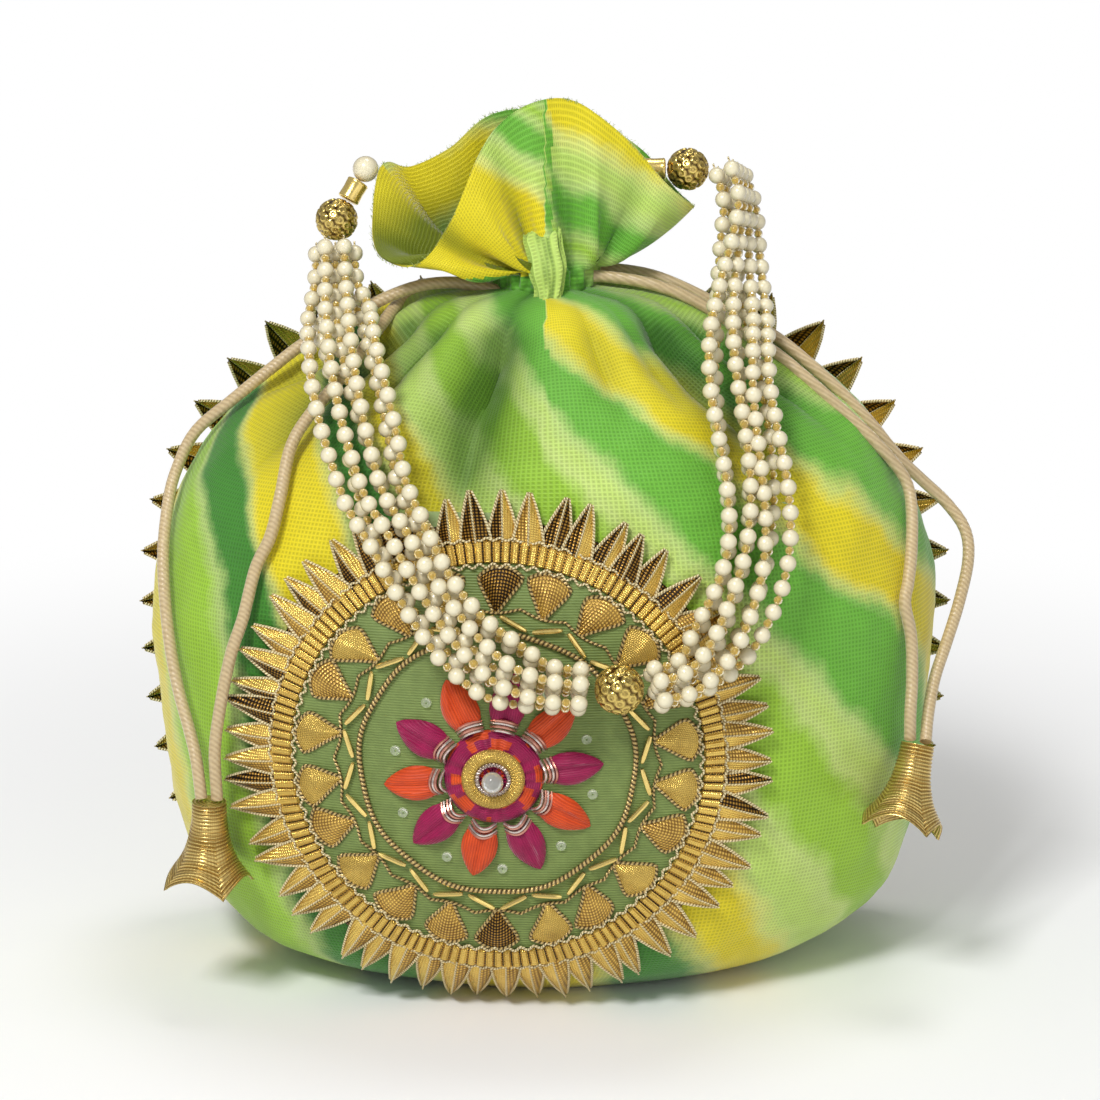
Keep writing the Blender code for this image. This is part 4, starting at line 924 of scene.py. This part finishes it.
def add_front_points():
    pile = Pile()
    for k in range(FRONT_POINTS):
        middle = 2 * math.pi * k / FRONT_POINTS + rng.normal(0, 0.008)
        reach = POINT_TIP + rng.normal(0, 0.5)
        tilt = rng.normal(0, 0.35)

        def place(t, q, lift):
            radius = POINT_ROOT + (reach - POINT_ROOT) * t
            turn = middle + q * (math.pi / FRONT_POINTS) * 1.28 + 0.05 * tilt * t
            point = round_centre(MEDALLION, radius, turn, SEAT + lift + 1.5 * t ** 1.5 + 0.5 * (k % 2))
            point[..., 2] = np.maximum(point[..., 2], 0.3)
            return point

        bright = rng.uniform() < 0.62 - 0.34 * math.sin(middle)
        side = 3 if bright else 1
        folded_point(pile, place, 4.0, (0, side) if k % 3 or bright else (1, side))
    turns = around(4 * FRONT_POINTS)
    under = [round_centre(MEDALLION, radius, turns, SEAT + lift)
             for radius, lift in ((58.5, 0.1), (62.0, 0.5), (66.5, 0.45), (67.5, 0.0))]
    pile.grid(under, pairs(np.linspace(0, 400, len(turns) + 1), (0, 4, 8, 9)), 1, wrap=True)
    pile.make("ribbon_points", RIBBON + (SHADE_GOLD,), "bag", ("petal_ring",), 30)


def add_band():
    """The cross-striped ribbon: raised bars with dark gaps, and a wavy cream thread along its inner edge."""
    count = 760
    turns = around(count)
    bar = np.clip(np.cos(turns * BAND_BARS) * 2.0 + 0.4, 0, 1)
    rows = []
    for radius, edge in ((56.4, 0.0), (56.8, 1.0), (58.5, 1.0), (60.2, 1.0), (61.8, 1.0), (62.2, 0.0)):
        lift = CLOTH_TOP + 0.35 + edge * (0.45 + 0.45 * bar)
        rows.append(round_centre(MEDALLION, radius, turns, lift))
    u = np.linspace(0, 2 * math.pi * 59.3, count + 1)
    places = pairs(u, (0, 0.5, 2.2, 3.9, 5.5, 6.0))
    pile = Pile()
    dark = ((bar + np.roll(bar, -1)) / 2 < 0.5).astype(int)
    pile.grid(rows, places, lambda i, j: dark[j], wrap=True)
    for radius, waves, size, high in ((55.8, 96, 0.55, 0.9), (62.6, 110, 0.35, 0.7)):
        a = around(waves * 8)
        wavy = round_centre(MEDALLION, radius + size * np.sin(a * waves), a, CLOTH_TOP + high)
        pile.tube(wavy, 0.36, 5, 2, True)
    pile.make("striped_band", RIBBON, "bag", ("ribbon_band",), 40)


def add_fans():
    """Fan-shaped ribbon petals with a couched twisted cord round each, and scallops that link their roots."""
    pile = Pile()
    for k in range(FANS):
        lean = rng.normal(0, 0.03)
        t, q = np.meshgrid(np.linspace(0, 1, 9), np.linspace(-1, 1, 11), indexing="ij")
        middle = 2 * math.pi * (k + 0.5) / FANS + rng.normal(0, 0.01) + lean * (t - 0.5)
        spread = np.radians(7.6) * (0.10 + 0.90 * t ** 0.95) * (1 - 0.16 * t ** 6)
        crown = 1.5 * (1 - np.abs(q + 0.25 - 0.3 * t) ** 1.6).clip(0) * np.sin(np.pi * (0.12 + 0.8 * t))
        radius = 43.4 + 9.8 * t + 2.4 * t * (1 - q ** 2)
        grid = round_centre(MEDALLION, radius, middle + q * spread, CLOTH_TOP + 0.35 + crown)
        slot = (0, 3, 0, 3, 3, 1, 0, 3, 0, 3, 0)[k % 11]
        pile.grid(grid, np.stack((q * spread * 50 + 9, t * 11), -1), slot)
        outline = np.concatenate((grid[:, 0], grid[-1, 1:-1], grid[::-1, -1]))
        pile.tube(outline, 0.52, 6, 2, True)
    a = around(FANS * 12)
    scallop = np.abs(np.sin(a * FANS / 2))
    pile.tube(round_centre(MEDALLION, 43.2 + 1.5 * (1 - scallop), a, CLOTH_TOP + 0.6), 0.42, 5, 2, True)
    finishes = (MESH_GOLD, DARK_GOLD, EDGE_CORD, SHADE_GOLD)
    pile.make("fan_petals", finishes, "bag", ("fan_petal_ring",), 40)


def add_bugles():
    """Zigzag of long beads, and the twisted cord inside it."""
    pile = Pile()
    for k in range(BUGLES):
        ends = []
        for step in (0.12, 0.9):
            turn = 2 * math.pi * (k + step) / BUGLES
            share = step if k % 2 == 0 else 1 - step
            ends.append(round_centre(MEDALLION, 38.9 + 3.9 * share, turn, CLOTH_TOP + 1.2))
        steps = np.linspace(0, 1, 8)[:, None]
        line = ends[0] + (ends[1] - ends[0]) * steps
        pile.tube(line, (0.5, 0.72, 0.75, 0.75, 0.75, 0.75, 0.72, 0.5), 8, 0)
        pile.ball(ends[0], 0.5, 6, 4, 1)
    pile.make("bugle_beads", (BRIGHT_GOLD, SEEDS), "bag", ("bugle_bead_ring",), 40)
    ring = Pile()
    a = around(200)
    radius = CORD_RING_RADIUS + 0.3 * np.sin(a * 9)
    ring.tube(round_centre(MEDALLION, radius, a, CLOTH_TOP + 0.8), 0.75, 8, 0, True)
    ring.make("couched_cord", (EDGE_CORD,), "bag", ("twisted_cord_ring",))


def add_flower():
    """Ten folded silk petals and everything in their middle."""
    low = CLOTH_TOP + 0.3
    for k in range(PETALS):
        turn = math.radians(PETAL_TURN + 360.0 * k / PETALS)
        way = np.array((math.cos(turn), math.sin(turn)))
        side = np.array((-way[1], way[0]))
        t, q = np.meshgrid(np.linspace(0, 1, 15), np.linspace(-1, 1, 15), indexing="ij")
        width = 5.0 * np.sin(np.pi * (0.18 + 0.80 * t) ** 0.92) ** 0.8
        width = np.where(t > 0.98, 0.15, width)
        radius = PETAL_ROOT + (PETAL_TIP - PETAL_ROOT) * t
        x = FLOWER[0] + radius * way[0] + q * width * side[0]
        z = FLOWER[1] + radius * way[1] + q * width * side[1]
        crown = 2.6 * np.sqrt(np.clip(1 - q ** 2, 0, 1))
        crown *= np.sin(np.pi * np.clip(0.15 + 0.9 * t, 0, 1)) ** 0.6
        overlap = 0.75 * ease((q - 0.05 - 0.25 * np.sin(3 * t)) / 0.12) * np.sin(np.pi * np.clip(t, 0, 1))
        crown = crown - 0.9 * np.exp(-((q - 0.05) / 0.18) ** 2) * np.sin(np.pi * t) + overlap
        pile = Pile()
        pile.grid(on_skin(x, z, low + 0.1 + crown), np.stack((radius, q * width), -1), 0)
        silk, slot = ((MAGENTA, "magenta_silk"), (ORANGE, "orange_silk"))[k % 2]
        pile.make(f"silk_petal_{k + 1:02d}", (silk,), "bag", (f"flower_petal_{k + 1:02d}",), 60)
    add_flower_middle(low)
    add_wires(low)
    add_woven_ring(low)
    add_sequins()


def add_flower_middle(low):
    turns = around(120)
    radii = np.array((0.3, 3.0, 6.0, 9.0, 11.5, 13.0, 13.6))
    lifts = np.array((1.7, 1.8, 1.8, 1.7, 1.5, 0.9, 0.1))
    ruffle = 0.35 * np.cos(17 * turns + 2 * np.sin(4 * turns))[None] * (lifts[:, None] > 0.5)
    grid = round_centre(FLOWER, radii[:, None], turns[None], low + lifts[:, None] + ruffle)

    def patches(i, j):
        return (np.sin(7 * turns[j] + 1.7 * i) + np.sin(3 * turns[j] - i) > 0.5).astype(int)

    pile = Pile()
    pile.grid(grid, pairs(np.linspace(0, 80, 121), radii), patches, wrap=True)
    pile.make("flower_middle", (MAGENTA, ORANGE), "bag", ("flower_base",))


def add_wires(low):
    """Wire bound round the neck of each petal."""
    wires = Pile()
    steps = np.linspace(-1, 1, 15)
    arch = np.cos(steps * 1.5)
    for petal in range(PETALS):
        turn = math.radians(PETAL_TURN + 360.0 * petal / PETALS) + np.radians(13.5) * steps
        for k in range(4):
            radius = 13.6 + 0.95 * k + 0.9 * arch + rng.normal(0, 0.1)
            wires.tube(round_centre(FLOWER, radius, turn, low + 0.2 + 2.9 * arch - 0.1 * k), 0.42, 6, k % 2)
    wires.make("wire_bindings", (SILVER, ROSE), "bag", ("wire_binding_ring",))


def add_woven_ring(low):
    """The woven gold ring, the spiked wire inside it and the bead in its middle."""
    ring = Pile()
    fine = around(180)
    weave = 1.3 + 0.14 * np.cos(fine * 45)
    rows = [round_centre(FLOWER, 6.6 + 2.0 * math.cos(a), fine, low + 2.1 + weave * math.sin(a))
            for a in np.linspace(0, math.pi, 8)]
    ring.grid(rows, pairs(np.linspace(0, 46, 181), np.linspace(0, 6, 8)), 0, wrap=True)
    spikes = around(240)
    radius = 4.3 + 0.4 * np.sign(np.sin(spikes * 30))
    ring.tube(round_centre(FLOWER, radius, spikes, low + 2.9), 0.24, 4, 1, True)
    ring.make("woven_ring", (MESH_GOLD, SILVER), "bag", ("woven_gold_ring",))
    bead = Pile()
    bead.ball(on_skin(FLOWER[0], FLOWER[1], low + 4.9), 3.0, 32, 20, 0)
    bead.make("grey_bead", (GREY_BEAD,), "bag", ("centre_bead",), 80)


def add_sequins():
    sequins = Pile()
    radii = np.array((0.25, 0.7, 1.3, 1.5))
    lifts = np.array((0.55, 0.5, 0.8, 0.25))
    for k in range(PETALS):
        turn = math.radians(25.0 + 36.0 * k) + rng.normal(0, 0.03)
        centre = np.array(FLOWER) + 27.5 * np.array((math.cos(turn), math.sin(turn)))
        grid = round_centre(centre, radii[:, None], around(20), CLOTH_TOP + lifts[:, None])
        sequins.grid(grid, pairs(np.linspace(0, 9, 21), radii), 0, wrap=True)
    sequins.make("clear_sequins", (SEQUIN,), "bag", ())


def rear_points(turn, distance, lift):
    """Points on the back panel, a distance behind the line on which the ring's tips stand."""
    turn, distance, lift = np.broadcast_arrays(np.asarray(turn, float), distance, lift)
    up = np.sin(turn)
    plane = 22.0 + 16.0 * ease((up - 0.72) / 0.28) + 35.0 * ease((-up - 0.65) / 0.35)
    near = np.zeros_like(up)
    far = np.full_like(up, 2 * BODY_HALF_WIDTH)
    for _ in range(30):
        middle = (near + far) / 2
        points = np.stack((middle * np.cos(turn), plane, 98.0 + middle * up), -1)
        within = (skin_level(points) < 0) & (points[..., 2] > 0) & (points[..., 2] < BODY_HEIGHT)
        near = np.where(within, middle, near)
        far = np.where(within, far, middle)
    steps = 14
    for _ in range(steps):
        normals = skin_normals(points)
        backward = unit(np.array((0.0, 1.0, 0.0)) - normals[..., 1:2] * normals)
        points = points + (distance / steps)[..., None] * backward
        off = skin_level(points) * np.linalg.norm(points[..., :2], axis=-1)
        off *= np.linalg.norm(normals[..., :2], axis=-1)
        points = points - off[..., None] * normals
    bulge = 2.6 * ease((points[..., 2] / BODY_HEIGHT - 0.76) / 0.16)
    return points + (lift + bulge)[..., None] * skin_normals(points)


def add_rear_ring():
    pile = Pile()
    for k in range(REAR_POINTS):
        middle = 2 * math.pi * k / REAR_POINTS

        def place(t, q, lift):
            turn = middle + q * (math.pi / REAR_POINTS) * 1.1
            point = rear_points(turn, 12.0 - 14.0 * t, 1.0 + lift + 10.0 * t ** 1.2)
            point[..., 2] = np.maximum(point[..., 2], 0.3)
            return point

        folded_point(pile, place, 4.5)
    pile.make("rear_points", RIBBON, "bag", ("rear_petal_ring",), 30)
    band = Pile()
    turns = around(600)
    bar = np.clip(np.cos(turns * REAR_BARS) * 2.0 + 0.4, 0, 1)
    rows = [rear_points(turns, 12.6 + d, 0.9 + e * (0.5 + 0.4 * bar))
            for d, e in ((0, 0), (0.4, 1), (2.5, 1), (4.6, 1), (5.0, 0))]
    dark = (bar < 0.5).astype(int)
    band.grid(rows, pairs(np.linspace(0, 520, 601), (0, 0.5, 2.5, 4.5, 5)), lambda i, j: dark[j], wrap=True)
    band.make("rear_band", (PALE_GOLD, DARK_GOLD), "bag", ("rear_ribbon_band",), 40)


def pierced_bead(name, centre, radius, node):
    """A ball of gold filigree: raised wire rings round small pits."""
    seeds = []
    for k in range(PITS):
        height = 1 - 2 * (k + 0.5) / PITS
        flat = math.sqrt(1 - height * height)
        turn = GOLDEN_ANGLE * k
        seeds.append((flat * math.cos(turn), flat * math.sin(turn), height))
    seeds = np.array(seeds)

    def pits(ways):
        flat = ways.reshape(-1, 3)
        apart = np.arccos(np.clip(flat @ seeds.T, -1, 1)).min(axis=1)
        return apart.reshape(ways.shape[:-1])

    def shape(ways):
        apart = pits(ways)
        wire = np.exp(-((apart - 0.155) / 0.055) ** 2)
        dome = np.exp(-(apart / 0.05) ** 2)
        return radius * (0.93 + 0.075 * wire + 0.05 * dome)

    pile = Pile()
    pile.ball(centre, radius, 96, 60, 0, shape)
    piece = pile.make(name, (PIT_SHADED_GOLD,), "handle", (node,), 180)
    # Painted shade: darkest in the pits, clear on the raised wire rings and the domes in their middles.
    apart = pits(unit(pile.points[0] - np.asarray(centre)))
    depth = 1 - np.exp(-((apart - 0.165) / 0.075) ** 2) - np.exp(-(apart / 0.05) ** 2)
    set_values(piece, "pit_shade", np.clip(depth, 0, 1))


def turned(pile, profile, origin, axis, columns, slot=0, shift=None):
    """A turned body from (radius, distance along the axis) pairs."""
    turn_to = np.array(Vector((0, 0, 1)).rotation_difference(Vector(axis).normalized()).to_matrix())
    angle = around(columns)
    radius = np.array([r for r, _ in profile])[:, None] * np.ones(columns)
    along = np.array([d for _, d in profile])[:, None] * np.ones(columns)
    if shift is not None:
        radius, along = shift(radius, along, angle[None])
    grid = np.stack((radius * np.cos(angle), radius * np.sin(angle), along), -1) @ turn_to.T
    run = np.concatenate(([0], np.cumsum(np.hypot(*np.diff(np.array(profile), axis=0).T))))
    pile.grid(grid + origin, pairs(np.linspace(0, 2 * math.pi * 8, columns + 1), run), slot, wrap=True)


def add_handle_ends():
    """The end pearls, their caps and the three filigree beads."""
    start = END_PEARL_RADIUS + GAP
    far = start + CAP_LENGTH + GAP + END_BEAD_RADIUS
    left = np.array((-50.6, 1.0, 231.6))
    chain = np.array((-0.49, -0.28, -0.82))
    chain /= np.linalg.norm(chain)
    right_bead = np.array((40.3, 1.0, 231.6))
    right = right_bead - (far, 0, 0)
    cap = ((0.01, 0.0), (2.5, 0.0), (2.95, 0.15), (3.2, 0.5), (3.1, 0.9), (3.1, 1.6), (3.0, 3.1), (3.1, 4.6),
           (3.1, 5.3), (3.2, 5.7), (2.95, 6.05), (2.5, CAP_LENGTH), (0.01, CAP_LENGTH))
    for side, origin, way, centre in (("left", left, chain, left + far * chain),
                                      ("right", right, np.array((1.0, 0, 0)), right_bead)):
        ball = Pile()
        ball.ball(origin, END_PEARL_RADIUS, 40, 24, 0)
        ball.make(f"big_pearl_{side}", (PEARLS,), "handle", (f"end_pearl_{side}",), 180)
        tube = Pile()
        turned(tube, cap, origin + start * way, way, 40)
        tube.make(f"gold_cap_{side}", (BRIGHT_GOLD,), "handle", (f"end_cap_{side}",), 50)
        pierced_bead(f"pierced_bead_{side}", centre, END_BEAD_RADIUS, f"filigree_bead_{side}")
    pierced_bead("pierced_bead_middle", MIDDLE_BEAD, MIDDLE_BEAD_RADIUS, "filigree_bead_middle")


def add_tassels():
    """Bells of ribbed metal mesh with a flared rim of four points."""
    s = Shade("gold_mesh_metal", Metallic=0.8)
    u, v = s.uv()
    ribs = s.lines(v, 1.1, 0.5, 0.6)
    bars = s.lines(u, 1.0, 0.6, 0.5)
    light = s.math("MULTIPLY", ribs, s.math("MULTIPLY_ADD", bars, 0.4, 0.6))
    colour = s.mix(light, rgb(150, 108, 40), rgb(255, 232, 150))
    gold = s.finish(colour, s.math("MULTIPLY_ADD", s.noise(200.0), 0.2, 0.2), ribs, 0.9, 0.0004)
    shape_t = np.array((0.0, 0.25, 0.5, 0.75, 1.0))
    shape_r = np.array((1.0, 1.06, 1.28, 1.75, 12.4 / BELL_TOP_RADIUS)) * BELL_TOP_RADIUS
    steps = np.linspace(0, 1, 90)
    radii = smooth_value(steps, shape_t, shape_r)
    outer = [(r + 0.13 * math.cos(t * BELL_HEIGHT * 2 * math.pi / 1.1), t * BELL_HEIGHT)
             for t, r in zip(steps, radii)]
    inner = [(r - 0.7, t * BELL_HEIGHT) for t, r in zip(steps[::-3], radii[::-3])]
    profile = [(0.01, 0.0), (4.2, 0.0)] + outer + inner + [(3.6, 0.9), (0.01, 0.9)]

    def shift(radius, along, angle):
        share = np.clip((radius - 5.2) / 7.2, 0, 1)
        points = 1 - 2 * np.abs(np.sin(2 * angle)) ** 0.8
        return radius + share ** 2 * (1.2 * points - 0.4), along + share * 2.2 * points

    for side, origin, axis in (("left", (-94.0, -52.0, 61.7), (-0.03, 0.02, -1.0)),
                               ("right", (105.0, -42.5, 75.3), (-0.20, -0.32, -0.93))):
        pile = Pile()
        turned(pile, profile, origin, axis, 96, 0, shift)
        pile.make(f"bell_{side}", (gold,), "bag", (f"tassel_{side}",), 60)


def add_stage():
    """A pale floor that turns to white away from the bag, three soft lamps and a white world."""
    floor = bpy.data.meshes.new("floor")
    corners = [(-FLOOR_SIZE, -FLOOR_SIZE, 0), (FLOOR_SIZE, -FLOOR_SIZE, 0), (FLOOR_SIZE, FLOOR_SIZE, 0),
               (-FLOOR_SIZE, FLOOR_SIZE, 0)]
    floor.from_pydata(corners, [], [(0, 1, 2, 3)])
    s = Shade("white_floor", Roughness=0.9, Specular_IOR_Level=0.1)
    floor.materials.append(s.finish((0.93, 0.93, 0.93, 1)))
    place = s.add("VectorMath", {0: s.add("TexCoord").outputs["Object"]}, operation="LENGTH").outputs["Value"]
    limits = {"Value": place, "From Min": 0.16, "From Max": 0.5}
    far = s.add("MapRange", limits, interpolation_type="SMOOTHSTEP").outputs[0]
    rays = s.add("LightPath").outputs
    seen = s.math("MAXIMUM", rays["Is Glossy Ray"], rays["Is Transmission Ray"])
    seen = s.math("MAXIMUM", rays["Is Camera Ray"], seen)
    glow = s.add("Emission", {"Color": (1, 1, 1, 1), "Strength": 1.0}).outputs[0]
    both = s.add("MixShader", {0: s.math("MULTIPLY", far, seen), 1: s.shader.outputs[0], 2: glow}).outputs[0]
    s.put(s.tree.nodes["Material Output"].inputs[0], both)
    plane = new_object("floor", floor)
    plane.location.z = -0.0004
    lamps = (("key", (-0.5, -1.1, 1.4), 0.4, 21.0), ("fill", (0.9, -1.5, 0.7), 1.0, 3.0),
             ("top", (0.2, 0.3, 1.9), 0.6, 7.0))
    for name, place, size, power in lamps:
        data = bpy.data.lights.new(name, "AREA")
        data.size = size
        data.energy = power
        lamp = new_object(name, data)
        lamp.location = place
        lamp.rotation_euler = (Vector((0, 0, 0.12)) - Vector(place)).to_track_quat("-Z", "Y").to_euler()
    world = bpy.data.worlds.new("studio")
    bpy.context.scene.world = world
    world.use_nodes = True
    tree = world.node_tree
    ground = tree.nodes["Background"]
    ground.inputs[0].default_value = (1, 1, 1, 1)
    path = tree.nodes.new("ShaderNodeLightPath")
    level = tree.nodes.new("ShaderNodeMapRange")
    level.inputs["To Min"].default_value = 0.34
    level.inputs["To Max"].default_value = 1.0
    seen = tree.nodes.new("ShaderNodeMath")
    seen.operation = "MAXIMUM"
    tree.links.new(path.outputs["Is Camera Ray"], seen.inputs[0])
    tree.links.new(path.outputs["Is Transmission Ray"], seen.inputs[1])
    tree.links.new(seen.outputs[0], level.inputs["Value"])
    tree.links.new(level.outputs[0], ground.inputs[1])
    bpy.context.scene.view_settings.view_transform = "Standard"


add_camera()
add_drawstrings()
add_handle_strands()
add_cloth()
add_medallion_cloth()
add_front_points()
add_band()
add_fans()
add_bugles()
add_flower()
add_rear_ring()
add_handle_ends()
add_tassels()
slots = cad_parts["lining"].data.materials
for k in range(len(slots)):
    slots[k] = LINING
add_stage()
